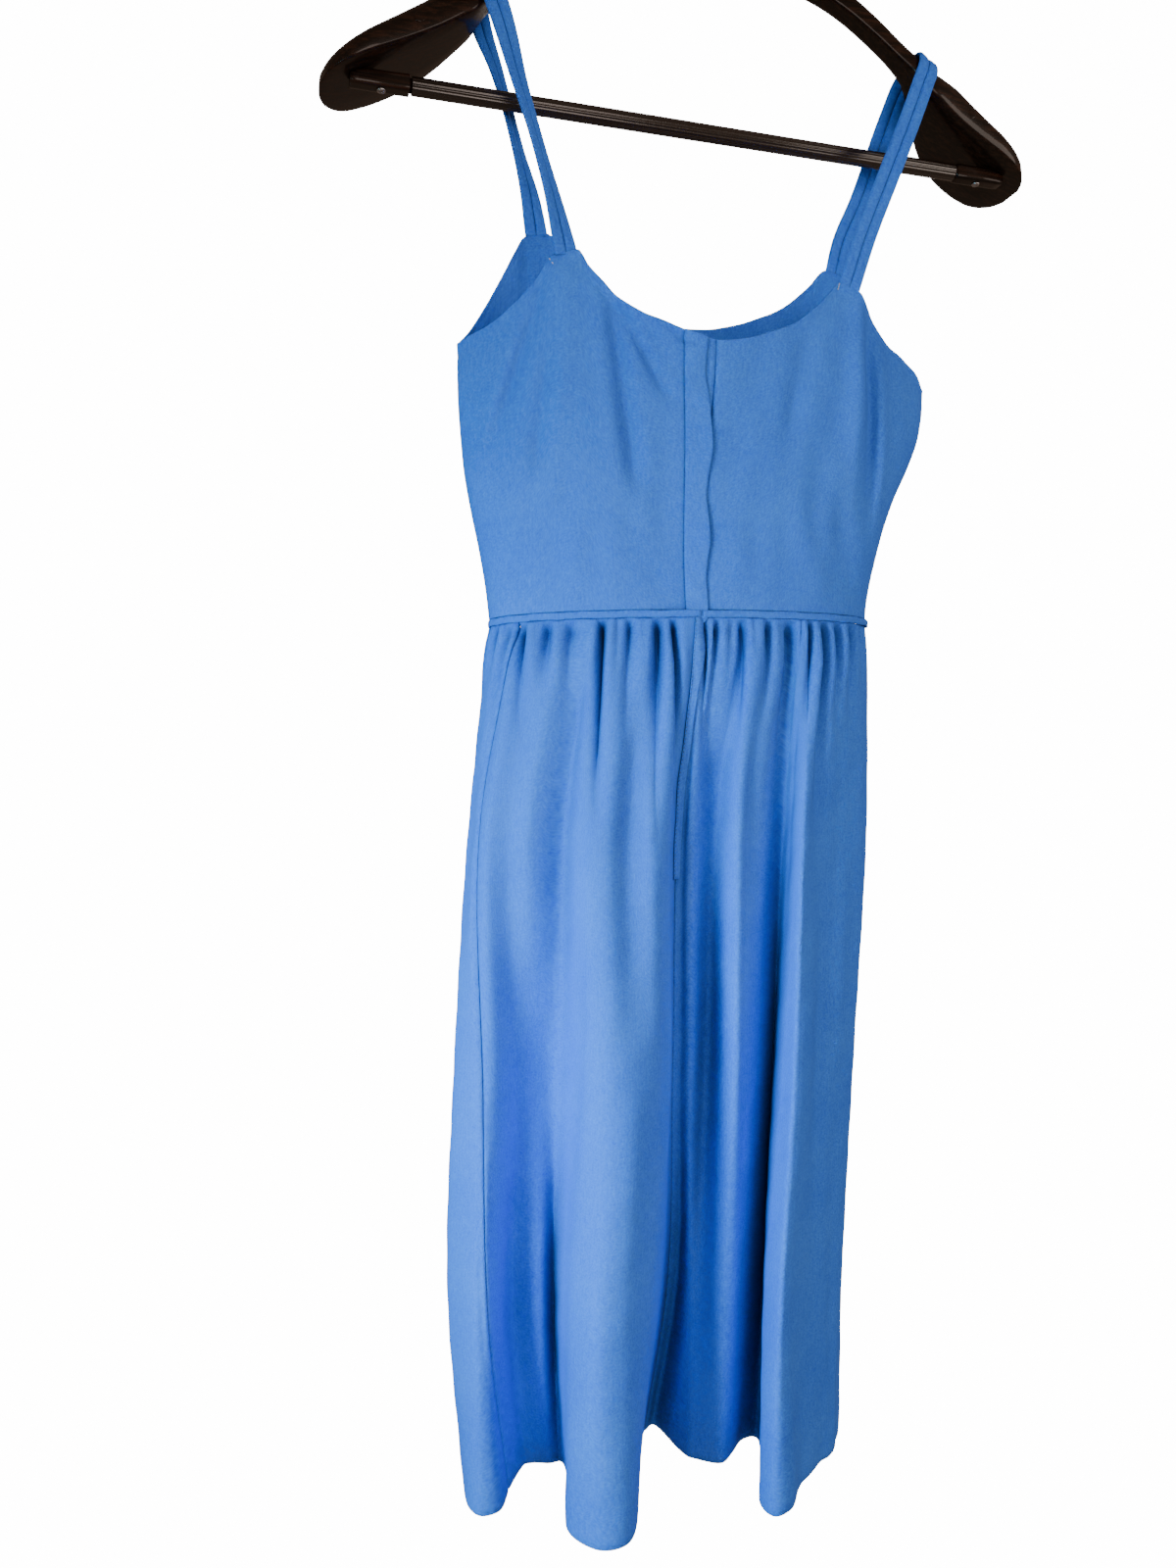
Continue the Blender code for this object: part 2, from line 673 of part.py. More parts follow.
def build_laps():
    """The strip over the zip, on the bodice and on the top of the skirt."""
    left_edge, right_edge, _ = lap_shares()
    shares = np.linspace(left_edge, right_edge, LAP_COLUMNS)
    step = shares[1] - shares[0]
    wide = np.concatenate([[left_edge - step], shares, [right_edge + step]])
    base = bodice_surface(NEAR_EDGE, True, wide, BODICE_ROWS)
    over_piping = base[-1:] - np.array((0.0, 0.0, PIPING_TALL + GAP))
    normals = surface_normals(base, False)[:, 1:-1]
    normals = np.concatenate([normals, normals[-1:]])
    base = np.concatenate([base, over_piping])[:, 1:-1]
    fall = np.array(BODICE_ROWS + (1.0,))[:, None, None]
    stand = WALL / 2 + GAP + LAP_STAND + LAP_OVER_PIPING * np.clip((fall - 0.85) / 0.15, 0, 1)
    inner = base + normals * stand
    outer = base + normals * (stand + LAP_WALL)
    grid_solid("zip_lap_bodice", outer, inner, "cloth")
    positions, cuts = skirt_positions()
    start = cuts[1] - LAP_COLUMNS // 2
    pick = np.arange(start - 1, start + LAP_COLUMNS + 1)
    base = skirt_surface(positions, SKIRT_ROWS)
    normals = surface_normals(base, True)[:LAP_ROWS, pick[1:-1]]
    base = base[:LAP_ROWS, pick[1:-1]]
    stand = WALL / 2 + GAP + LAP_STAND
    grid_solid("zip_lap_skirt", base + normals * (stand + LAP_WALL), base + normals * stand, "cloth")


def build_piping():
    """The narrow band between bodice and skirt, open at the centre back."""
    _, _, seam = lap_shares()
    start = seam / 2
    grids = []
    for offset in (PIPING_WALL / 2, -PIPING_WALL / 2):
        columns = []
        for k in range(PIPING_STEPS + 1):
            share = start + PIPING_END + (1 - 2 * PIPING_END) * k / PIPING_STEPS
            x, y = waist_point(share)
            away = np.array([(x - WAIST_MID[0]) / WAIST_HALF[0] ** 2, y / WAIST_HALF[1] ** 2])
            away /= np.linalg.norm(away)
            x, y = np.array([x, y]) + away * offset
            z = waist_height(x)
            columns.append([(x, y, z + PIPING_TALL / 2), (x, y, z - PIPING_TALL / 2)])
        grids.append(np.array(columns).transpose(1, 0, 2))
    grid_solid("waist_piping", grids[0], grids[1], "cloth")


# Straps

def strap_frames(rows):
    """Centre, across and out directions along a strap path."""
    table = np.array(rows, float)
    lengths = path_lengths(table[:, :3])
    stops = np.unique(np.concatenate([lengths, (lengths[1:4] + lengths[:3]) / 2]))
    dense = smooth_curve(lengths, table, stops)
    centre, twist = dense[:, :3], np.radians(dense[:, 3])
    along = np.gradient(centre, stops, axis=0)
    along /= np.linalg.norm(along, axis=1)[:, None]
    sign = 1.0 if table[0, 0] < 0 else -1.0
    arm = np.array((ACROSS_ON_ARM[0], 0.0, ACROSS_ON_ARM[1] * sign))
    plumb = np.array((ACROSS_HUNG[0], 0.0, ACROSS_HUNG[1] * sign))
    share = np.clip((centre[:, 2] - HUNG_BELOW) / (ON_ARM_FROM - HUNG_BELOW), 0.0, 1.0)[:, None]
    across = plumb * (1 - share) + arm * share
    across -= along * np.sum(across * along, axis=1)[:, None]
    across /= np.linalg.norm(across, axis=1)[:, None]
    out = np.cross(along, across)
    turned = across * np.cos(twist)[:, None] + out * np.sin(twist)[:, None]
    return centre, turned, np.cross(along, turned)


def build_straps():
    """Two tubes a side, from the back edge over the arm to the front edge."""
    for side, rows in (("left", LEFT_STRAP), ("right", RIGHT_STRAP)):
        centre, across, out = strap_frames(rows)
        for place, shift in (("a", -TUBE_SPACING / 2), ("b", TUBE_SPACING / 2)):
            rings = []
            for point, u, v in zip(centre, across, out):
                ring = []
                for k in range(TUBE_SIDES):
                    angle = 2 * math.pi * (k + 0.5) / TUBE_SIDES
                    a = TUBE_HALF[0] * math.cos(angle)
                    b = TUBE_HALF[1] * math.sin(angle)
                    ring.append(point + u * (a + shift) + v * b)
                rings.append(ring)
            tube_solid("strap_" + side + "_" + place, rings, "cloth")


# Hanger

def underside(x):
    """Height of the arm's underside at a distance from the middle."""
    table = np.array(ARM_SECTIONS, float)
    return float(np.interp(abs(x), table[:, 0], table[:, 2]))


def build_hanger_body():
    """Both arms in one carved piece, flat below, domed above and squarer at the wide ends."""
    rings = []
    stations = [(-row[0],) + row[1:] for row in reversed(ARM_SECTIONS[1:])] + list(ARM_SECTIONS)
    slim, wide = np.array(ARM_PROFILE), np.array(END_PROFILE)
    for x, back, low, high, half in stations:
        share = np.clip((abs(x) - END_FROM) / (END_FULL - END_FROM), 0.0, 1.0)
        profile = slim * (1 - share) + wide * share
        rings.append([(x, back + half * a, low + (high - low) * b) for a, b in profile])
    tube_solid("hanger_body", rings, "wood")


def build_hook():
    """Wire hook with its inside top at the origin, and the collar at its foot."""
    top = ARM_SECTIONS[0][3] + GAP
    bend = HOOK_RADIUS + HOOK_ROD
    middle = HOOK_ROD - bend
    path = [(0.0, top + d) for d in (0.0, 8.0, 17.0, 25.0)]
    for degrees in range(-44, 216, 13):
        angle = math.radians(degrees)
        path.append((bend * math.cos(angle), middle + bend * math.sin(angle)))
    path = np.array(path)
    lengths = path_lengths(path)
    dense = smooth_curve(lengths, path, np.linspace(0, lengths[-1], 34))
    along = np.gradient(dense, axis=0)
    along /= np.linalg.norm(along, axis=1)[:, None]
    rings = []
    for (x, z), (dx, dz) in zip(dense, along):
        ring = []
        for k in range(10):
            angle = 2 * math.pi * k / 10
            a, b = HOOK_ROD * math.cos(angle), HOOK_ROD * math.sin(angle)
            ring.append((x - dz * a, b, z + dx * a))
        rings.append(ring)
    tube_solid("hanger_hook", rings, "chrome")
    centre = (0.0, 0.0, top + COLLAR_TALL / 2)
    sleeve_solid("hook_collar", centre, "Z", COLLAR_TALL, COLLAR_RADII, 16, "chrome")


def build_bar():
    """Round bar with square ends cut to the arms, its grip sleeve and the two screws."""
    rings = []
    flats = 12
    round_ring = [(math.cos(2 * math.pi * (k + 0.5) / flats), math.sin(2 * math.pi * (k + 0.5) / flats))
                  for k in range(flats)]
    square_ring = []
    for a, b in round_ring:
        reach = max(abs(a), abs(b))
        square_ring.append((a / reach, b / reach))
    for side in (-1, 1):
        stations = (BAR_TIP, 209.0, 204.0, BAR_BLOCK_FROM, BAR_BLOCK_FROM - 0.6)
        made = []
        for place, x in enumerate(stations):
            ring = []
            lid = underside(x) - GAP - 0.3 - BAR_HEIGHT
            for (a, b), (ra, rb) in zip(square_ring, round_ring):
                if place == len(stations) - 1:
                    y, z = BAR_RADIUS * ra, BAR_RADIUS * rb
                else:
                    y, z = BAR_BLOCK * a, min(BAR_BLOCK * b, lid)
                ring.append((side * x, BAR_BACK + y, BAR_HEIGHT + z))
            made.append(ring)
        rings += made if side < 0 else made[::-1]
    tube_solid("trouser_bar", rings, "wood")
    length = 2 * (BAR_BLOCK_FROM - 1.4)
    sleeve_solid("bar_grip", (0, BAR_BACK, BAR_HEIGHT), "X", length, GRIP_RADII, 16, "plastic")
    for side in ("left", "right"):
        x = -SCREW_AT if side == "left" else SCREW_AT
        top = BAR_HEIGHT - BAR_BLOCK - GAP
        rings = []
        for drop, radius in ((0.0, 1.0), (0.5, 0.95), (1.0, 0.7), (1.25, 0.3)):
            rings.append([(x + SCREW_RADIUS * radius * math.cos(2 * math.pi * k / 12),
                           BAR_BACK + SCREW_RADIUS * radius * math.sin(2 * math.pi * k / 12),
                           top - drop) for k in range(12)])
        tube_solid("bar_screw_" + side, rings, "steel")


def main():
    """Clears the scene and builds every part."""
    for thing in list(bpy.data.objects):
        bpy.data.objects.remove(thing, do_unlink=True)
    build_skirt()
    build_bodice()
    build_laps()
    build_piping()
    build_straps()
    build_hanger_body()
    build_hook()
    build_bar()


main()
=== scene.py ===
import math

import bmesh
import bpy
import numpy as np
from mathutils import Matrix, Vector


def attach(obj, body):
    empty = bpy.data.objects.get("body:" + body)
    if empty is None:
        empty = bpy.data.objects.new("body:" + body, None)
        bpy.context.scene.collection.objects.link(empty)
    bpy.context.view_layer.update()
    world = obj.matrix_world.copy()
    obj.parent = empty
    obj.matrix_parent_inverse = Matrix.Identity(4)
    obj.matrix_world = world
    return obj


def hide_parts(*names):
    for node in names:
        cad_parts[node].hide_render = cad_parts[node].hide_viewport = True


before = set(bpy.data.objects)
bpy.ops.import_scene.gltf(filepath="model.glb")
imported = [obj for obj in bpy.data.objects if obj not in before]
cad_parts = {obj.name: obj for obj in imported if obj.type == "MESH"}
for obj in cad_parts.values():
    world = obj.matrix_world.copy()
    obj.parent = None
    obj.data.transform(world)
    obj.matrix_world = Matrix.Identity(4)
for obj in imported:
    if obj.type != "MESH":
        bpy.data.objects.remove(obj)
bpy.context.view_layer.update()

# Lengths are millimetres until a mesh is made. X runs right, Y away from the viewer, Z up.
MM = 0.001

# Camera at the photograph's viewing angle
CAMERA_PLACE = (-0.2647, -0.6813, -0.604)
CAMERA_YAW = -15.7
CAMERA_LENS = 27.0
CAMERA_SENSOR = 36.0

# Lights, in metres: place, the point that each faces, diameter, watts, colour and spread in
# degrees. The window is cool and throws a pool from the left; the fills are warm.
LIGHTS = {
    "window": ((-1.12, -0.66, -0.84), (0.0, 0.0, -0.76), 0.35, 2.6, (0.36, 0.84, 1.0), 54.0),
    "front_fill": ((-0.2, -2.0, -0.6), (0.0, 0.0, -0.7), 1.2, 15.0, (1.0, 0.82, 0.74), 180.0),
    "fill": ((1.2, -1.1, -0.2), (0.0, 0.0, -0.5), 1.0, 9.0, (1.0, 0.84, 0.74), 180.0),
    "far_window": ((0.9, 1.4, 0.9), (0.0, 0.0, -0.4), 1.0, 9.0, (1.0, 0.98, 0.95), 180.0),
}
ROOM_COLOUR = (1.0, 0.7, 0.52, 1.0)
ROOM_STRENGTH = 0.2

# Stage, in metres: height of the floor, its flat reach, the bend's radius and the wall's top
STAGE = (-1.75, 2.4, 0.9, 2.6)

# Cloth, as in the part's source
CLOTH_HALF = 0.5
WAIST_MID = (-11.5, 0.0)
WAIST_HALF = (121.5, 50.0)
WAIST_HEIGHT = -506.0
WAIST_TILT = 0.03
PIPING_TALL = 4.3
HEM_HEIGHT = -1030.5
BODICE_HALF_DEPTH = 48.0
UNDERARM_HEIGHT = -347.0
LAP_LEFT = -28.0
LAP_WIDTH = 12.6
GAP = 0.3
# Columns round the skirt in the part's solids: its zip lap is set out in them
PART_COLUMNS = 216
# Lengths round that the waves and the weave are laid out on
CLOTH_ROUND = 1200.0
WEAVE_ROUND = 1400.0
WAIST_ROUND = 565.0

# Gathers: how many, and how much deeper and longer they are than their table says
GATHERS = 54
GATHER_BOOST = 4.2
GATHER_FALL = 1.4
# A gather has a share of its depth at the waist seam and all of it a little below
GATHER_AT_SEAM = 0.32
GATHER_FULL = 7.0
# Between the gathers the cloth bulges out: share of their size, its reach down and its width
BULGE = 0.11
BULGE_FALL = 25.0
BULGE_WIDTH = 13.0
# A pressed seam of the skirt: half the slit between its panels, the dent along it and its width
SLIT = 0.3
SEAM_DENT = 0.45
SEAM_WIDTH = 1.4
# The skirt's hem: how far it is turned up, and how much thicker that makes it each way
HEM_TURN = 24.0
HEM_EXTRA = 0.12
# The lap's lower length: columns left and right of the seam, and its drop as a share of the skirt
LAP_COLUMNS = (2.05, 1.05)
LAP_DROP = 0.29
# Half sizes of the waist piping, out and up
PIPING_HALF = (0.95, 2.12)
# Small waves all over: height on the skirt and on the bodice
SKIRT_WAVES = 0.45
BODICE_WAVES = 0.35

# How finely the cloth is cut up
SKIRT_COLUMNS = 560
SKIRT_ROWS = 150
BODICE_COLUMNS = {"bodice_back_left": 84, "bodice_back_right": 96, "bodice_front": 170}
BODICE_ROWS = 76

# Fold lines of the near side of the skirt, left to right: x and y on four levels
SKIRT_LEVELS = (-508.6, -615.0, -777.0, -924.0, HEM_HEIGHT)
NEAR_FOLDS = (
    # name, hip x, hip y, knee x, knee y, low x, low y, hem x, hem y
    ("left_edge", -143, 6, -152, 14, -152, 30, -141, 43),
    ("left_turn", -144, -6, -152, -8, -150, 0, -144, 3),
    ("left_crest", -144, -11, -147, -22, -144, -15, -137, -5),
    ("left_round", -143, -13, -144.5, -25, -140, -16, -127, -2),
    ("left_seam", -141, -16, -142, -26, -136, -15, -118.5, 16),
    ("seam_side", -138, -24, -136, -26, -129, -4, -108, 34),
    ("left_valley", -125, -27, -118, -12, -116, 14, -99, 40),
    ("minor_crest", -117, -35, -106, -8, -102, 8, -90, 37),
    ("valley_end", -94, -30, -92, -12, -90, 14, -80, 33),
    ("wide_wall", -88, -41, -89, -32, -91, -12, -83.6, 6),
    ("wide_turn", -83, -46, -87, -48, -93, -38, -93.5, -30),
    ("wide_crest", -74, -48, -77, -58, -87, -58, -84, -51),
    ("wide_top", -60, -43, -64, -58, -72, -60, -66, -53),
    ("wide_end", -48, -48, -48, -50, -56, -50, -55, -37),
    ("deep_wall", -36, -42, -35, -36, -42, -30, -38, 12),
    ("back_seam", -26, -31, -22, -8, -15, 22, -19, 55),
    ("valley_floor", -22, -31, -17, -6, -8, 24, -11, 61),
    ("lap_crest", -18, -33, -12, -10, -7, 10, -5, 30),
    ("lap_side", 1, -26, 4, -4, 1, 2, 3, 16),
    ("mid_crest", 7, -41, 10, -28, 11, -12, 16, 7),
    ("mid_side", 15, -38, 18, -24, 25, -6, 27, 17),
    ("mid_valley", 24, -34, 30, -16, 39, 6, 38, 28),
    ("right_valley", 44, -24, 46, -4, 44, 4, 48.5, 23),
    ("right_wall", 47, -29, 43, -16, 34, -16, 37, -7),
    ("right_turn", 48, -34, 40, -32, 27, -38, 22.5, -38),
    ("right_crest", 50, -40, 39, -48, 27, -54, 26.5, -51.5),
    ("crest_round", 53, -39, 43, -47, 32, -52, 37, -48),
    ("crest_side", 58, -35, 50, -42, 41, -44, 50, -31.5),
    ("right_slope", 70, -28, 63, -30, 58, -28, 62, -20),
    ("last_side", 79, -24, 72, -27, 70, -20, 75, -9),
    ("last_crest", 91, -17, 82, -22, 79, -14, 84, -4),
    ("right_seam", 113, 2, 103.5, 2, 98, 6, 96, 10),
)
# Fold lines of the far side, right to left: x and y at the hem
FAR_FOLDS = (
    (107, 30), (96, 46), (84, 52), (74, 76), (60, 84), (50, 66), (34, 62), (22, 86), (8, 98),
    (-12, 98), (-28, 80), (-42, 74), (-54, 92), (-70, 90), (-82, 66), (-98, 62), (-112, 80),
    (-130, 74),
)
FAR_SHARES = (0.45, 0.75, 0.92, 1.0)

# Gathers at the near waist: x at the seam, x where it dies out, how far down, depth, width
NEAR_GATHERS = (
    (-127, -128, 30, 0.8, 3.0), (-119, -121, 50, 3.0, 3.4), (-112, -113, 16, 0.6, 2.4),
    (-106, -109, 36, 2.6, 3.4), (-99, -101, 14, 0.5, 2.4), (-93, -96, 40, 2.6, 3.4),
    (-85, -88, 24, 0.7, 2.6), (-76.5, -79, 90, 3.4, 3.8), (-68, -70, 30, 0.7, 2.6),
    (-61, -64, 56, 2.2, 3.2), (-53, -55, 24, 0.7, 2.4), (-45, -44, 100, 3.0, 3.4),
    (-36, -30, 80, 2.6, 3.2), (-18, -10, 70, 1.8, 2.6), (-9.5, -4, 90, 2.4, 3.4),
    (0, -2, 40, 1.5, 2.8), (7, 6, 60, 2.6, 3.6), (14, 14, 20, 0.7, 2.4),
    (24, 22, 50, 2.4, 3.4), (32, 30, 30, 0.7, 2.6), (40, 38, 90, 3.0, 3.6),
    (46.5, 45, 30, 0.7, 2.4), (53, 51, 60, 2.4, 3.2), (64, 63, 90, 2.8, 3.6),
    (75, 75, 50, 2.4, 3.4), (88, 89, 50, 2.4, 3.4), (98, 100, 34, 1.4, 3.0),
)
# Soft creases lower in the near skirt: x and z at the top, x and z below, depth (a ridge if
# negative) and half width
NEAR_CREASES = (
    (-80, -545, -82, -640, 1.6, 5.0),
    (-54, -560, -57, -660, 1.4, 5.0),
    (-110, -560, -112, -660, 1.2, 6.0),
    (18, -560, 20, -680, 1.4, 5.0),
    (64, -560, 63, -690, 1.4, 5.0),
    (84, -560, 84, -700, 1.2, 6.0),
)

# Half widths of the bodice: height, left x, right x
BODICE_SIDES = np.array((
    (-506, -133, 108),
    (-489, -135, 109.5),
    (-466, -139, 115),
    (-443, -144, 122),
    (-421, -148, 130.5),
    (-402, -150, 140),
    (-382, -151.5, 148.5),
    (-362, -152, 152.5),
    (-346, -152, 153),
), float)
# Top edge of the near side, left underarm to right underarm: x, y, z
NEAR_EDGE = (
    (-152, 0, -347), (-146, -6, -344), (-135, -14, -339), (-125, -21, -331), (-116, -26, -322),
    (-108, -31, -311), (-104.5, -34, -305), (-97, -35, -302.4), (-88.6, -36, -300.2),
    (-84, -37, -307.5), (-76, -39, -317), (-68, -41, -325), (-56, -43, -333), (-37, -46, -340),
    (-21, -48, -345), (-11, -48, -347), (10, -46, -344), (28, -44, -337), (43, -42, -330),
    (54, -40, -321), (63, -38, -313), (70, -36, -305), (75.4, -35, -299.6), (83, -35, -301.6),
    (90.4, -34, -304), (93.6, -32, -307.5), (98, -28, -311), (107, -22, -319), (120, -15, -327),
    (134, -9, -332), (146, -4, -338), (153, 0, -347),
)
# Top edge of the far side, right underarm to left underarm: x, y, z
FAR_EDGE = (
    (153, 0, -347), (148, 3, -341), (136, 10, -321), (124, 17, -298), (116, 22, -278),
    (112, 25, -268.4), (104.6, 25.4, -265.6), (97.6, 26, -264.2), (86, 28, -275.6),
    (69, 31, -290), (50, 33, -299), (32, 35, -305), (16, 36, -308), (3, 36, -309),
    (-14, 35, -307), (-42, 33, -300), (-64, 31, -291), (-80, 28, -279), (-92, 26, -263.6),
    (-99.4, 25.4, -265.6), (-106.6, 25, -268), (-112, 22, -277), (-122, 17, -297),
    (-134, 10, -320), (-147, 3, -341), (-152, 0, -347),
)
# Creases of the bodice: top x, z, bottom x, z, half width, depth (a ridge if negative)
NEAR_TROUGHS = (
    (-106, -314, -136, -412, 5.5, 4.6),
    (-103, -326, -112, -430, 5, 2.6),
    (-71, -318, -56, -440, 5.5, 4.8),
    (-66, -330, -36, -384, 4.5, 3.6),
    (98, -312, 102, -440, 5.5, 5.0),
    (-33, -336, -31, -520, 23, 5.0),
    (56, -324, 36, -404, 7, 2.6),
    (-113, -322, -150, -440, 5, -1.8),
    (-96, -306, -102, -400, 5, -1.6),
    (-80, -318, -70, -420, 5, -1.4),
    (-54, -333, -36, -366, 4, 1.2),
    (-40, -340, -24, -352, 4, 1.2),
    (-94, -306, -118, -470, 5, 1.0),
    (88, -306, 86, -430, 6, -1.8),
    (110, -322, 108, -470, 6, -1.8),
    (18, -342, 4, -420, 7, 1.0),
    (84, -310, 60, -440, 8, 1.2),
    (70, -420, 88, -500, 8, 0.8),
    (40, -420, 62, -496, 9, -0.7),
    (-96, -430, -112, -500, 10, 0.8),
    (-60, -440, -48, -500, 10, 0.8),
)
FAR_TROUGHS = (
    (100, -280, 128, -390, 9, 3.5),
    (78, -300, 50, -400, 9, 2.5),
    (-100, -282, -124, -400, 9, 3.5),
    (-76, -300, -44, -410, 9, 2.5),
    (10, -330, 4, -420, 10, 1.5),
    (104, -276, 112, -420, 5, -1.4),
    (92, -276, 74, -430, 5, -1.2),
    (-104, -276, -110, -430, 5, -1.4),
    (-92, -276, -72, -420, 6, -1.2),
    (-20, -312, -28, -430, 8, 0.9),
    (40, -308, 30, -440, 8, 0.9),
    (84, -430, 70, -500, 9, 0.8),
    (-70, -430, -88, -500, 9, 0.8),
)

# Right edge of the zip lap: height and x
LAP_EDGE = np.array((
    (-344, -15.0), (-356, -15.6), (-365, -16.1), (-378, -13.7), (-393, -12.6), (-409, -11.9),
    (-422, -14.0), (-436, -15.5), (-450, -14.4), (-464, -13.7), (-475, -15.2), (-486, -16.1),
    (-498, -15.4), (-512, -16.1),
), float)

# Strap paths from the back edge over the arm to the front edge: x, y, z, twist in degrees
LEFT_STRAP = (
    (-96.4, -35.4, -300.9, 10), (-103, -33.8, -272, 34), (-113, -31.8, -236, 44),
    (-122.5, -29.8, -204, 34), (-132.5, -28.2, -168, 8), (-137.6, -27, -153, 0),
    (-140.3, -24, -145.2, 0), (-141.1, -18, -141.9, 0), (-141.3, -11, -141.1, 0),
    (-141.1, -4.2, -142.1, 0), (-139.6, 4.6, -146.4, -4), (-136, 9.6, -155, -16),
    (-127.6, 12.4, -174, -38), (-118.2, 15.8, -200, -48), (-111, 18.8, -222, -44),
    (-103.6, 22.4, -245, -22), (-99.4, 25.5, -264.1, 0),
)
RIGHT_STRAP = (
    (82.7, -35, -300.1, 0), (93.4, -33.4, -270, 0), (110.6, -31.4, -229, 0),
    (128.2, -29.6, -187, 0), (137.6, -28.6, -163, 0), (141.4, -27.6, -153.4, 0),
    (143.3, -23.8, -146.6, 0), (143.7, -16, -143.6, 0), (143.8, -9, -143, 0),
    (143.7, -1.4, -143.8, 0), (142.7, 7, -147.8, 0), (140.6, 12.2, -156, 0), (135, 13.8, -171, 0),
    (118.6, 19.6, -220, 0), (107.6, 23.4, -248, 0), (104.6, 25.5, -263.9, 0),
)
# Loose ends of white thread where the straps are sewn on
STRAP_TACKS = (
    ((-105.6, -35.0, -307.0), (-104.2, -35.9, -309.4)),
    ((75.0, -36.0, -300.9), (74.0, -36.4, -304.0)),
)
TUBE_HALF = (3.6, 1.35)
TUBE_CUT = 16.6
TUBE_WALL = 0.42
TUBE_SPACING = 7.14
TUBE_SIDES = 20
STRAP_TUCK = 2.6
# x and z of the direction across a strap, where it hangs and where it lies on the arm
STRAP_ACROSS = ((0.96, 0.27), (0.82, 0.57))
TUBE_STATIONS = 150

# Sections of the hanger arm: distance from the middle, y, underside z, top z, half width
ARM_SECTIONS = np.array((
    (0, -1, -96, -80, 7.6), (14, -1.4, -96.4, -80.6, 7.4), (32, -3.4, -98.5, -84, 7),
    (56, -7.4, -104.4, -91, 6.6), (86, -11.6, -118, -103, 6.5), (112, -13.6, -135.6, -121, 6.8),
    (128, -14.2, -148.2, -134.2, 7.6), (136, -13.8, -155, -140.4, 9.4),
    (141, -12.4, -161.4, -143.8, 12.4), (146, -10.2, -166.8, -147, 15.6),
    (152, -6.6, -170.4, -149.8, 18.8), (161, -0.8, -175.2, -154.2, 22.8),
    (171, 4.6, -180, -159.6, 26.2), (182, 8.8, -185, -166, 28.8),
    (194, 11.4, -190.2, -173.2, 30.2), (206, 12.8, -195.2, -180.6, 30.2),
    (216, 13.6, -199.2, -187.4, 27.6), (223, 13.8, -201.6, -192.2, 22.2),
    (228, 13.8, -203, -196, 14.6), (230, 13.8, -203.4, -197.8, 8.6),
), float)
# Left half of those sections' outline, for the slim arm and for its wide end: across as a share
# of the half width, up as a share of the height
ARM_PROFILE = (
    (-0.90, 0.0), (-0.97, 0.03), (-1.0, 0.10), (-1.0, 0.36), (-0.975, 0.54), (-0.90, 0.70),
    (-0.76, 0.82), (-0.56, 0.91), (-0.3, 0.975),
)
END_PROFILE = (
    (-0.93, 0.0), (-0.985, 0.02), (-1.0, 0.07), (-1.0, 0.54), (-0.99, 0.71), (-0.95, 0.85),
    (-0.87, 0.94), (-0.72, 0.985), (-0.4, 1.0),
)
END_FROM = 150.0
END_FULL = 166.0
PLUG_AT = (177.0, -173.5)
PLUG_RADIUS = 3.0
# The plug's edge: distance out of the wood, and size as a share of its radius
PLUG_PROFILE = ((-0.5, 1.0), (0.22, 1.0), (0.34, 0.94), (0.36, 0.8))
HOOK_ROD = 2.0
HOOK_RADIUS = 20.0
COLLAR_RADII = (2.4, 5.0)
COLLAR_TALL = 6.0
BAR_HEIGHT = -199.0
BAR_BACK = 3.5
BAR_RADIUS = 4.0
BAR_BLOCK = 4.8
BAR_BLOCK_FROM = 180.0
BAR_TIP = 214.0
GRIP_RADII = (4.3, 5.2)
SCREW_AT = 196.0
SCREW_RADIUS = 2.6
# The screw's pan head from its rim: size as a share of its radius, and distance down
SCREW_PROFILE = (
    (1.0, 0.0), (1.0, 0.35), (0.97, 0.62), (0.9, 0.86), (0.78, 1.04), (0.62, 1.16), (0.5, 1.21),
    (0.4, 1.23), (0.3, 1.25), (0.2, 1.25), (0.1, 1.25),
)


# Camera, light and stage

def build_camera():
    """The photograph's view: level, turned a little to the right."""
    lens = bpy.data.cameras.new("photo_camera")
    lens.lens = CAMERA_LENS
    lens.sensor_width = CAMERA_SENSOR
    camera = bpy.data.objects.new("photo_camera", lens)
    camera.location = CAMERA_PLACE
    camera.rotation_euler = (math.radians(90.0), 0.0, math.radians(CAMERA_YAW))
    bpy.context.scene.collection.objects.link(camera)
    bpy.context.scene.camera = camera


def add_area_light(name, place, target, size, power, colour, spread):
    """A round soft box that faces a point; a narrow spread makes a pool of light."""
    light = bpy.data.lights.new(name, "AREA")
    light.shape = "DISK"
    light.size = size
    light.energy = power
    light.color = colour
    light.spread = math.radians(spread)
    holder = bpy.data.objects.new(name, light)
    holder.location = place
    holder.rotation_euler = (Vector(target) - Vector(place)).to_track_quat("-Z", "Y").to_euler()
    bpy.context.scene.collection.objects.link(holder)


def build_light():
    """Cool window light from the left, warm fills from front and right, in a dim warm room."""
    world = bpy.data.worlds.new("dim_room")
    world.use_nodes = True
    background = world.node_tree.nodes["Background"]
    background.inputs["Color"].default_value = ROOM_COLOUR
    background.inputs["Strength"].default_value = ROOM_STRENGTH
    bpy.context.scene.world = world
    for name, light in LIGHTS.items():
        add_area_light(name, *light)


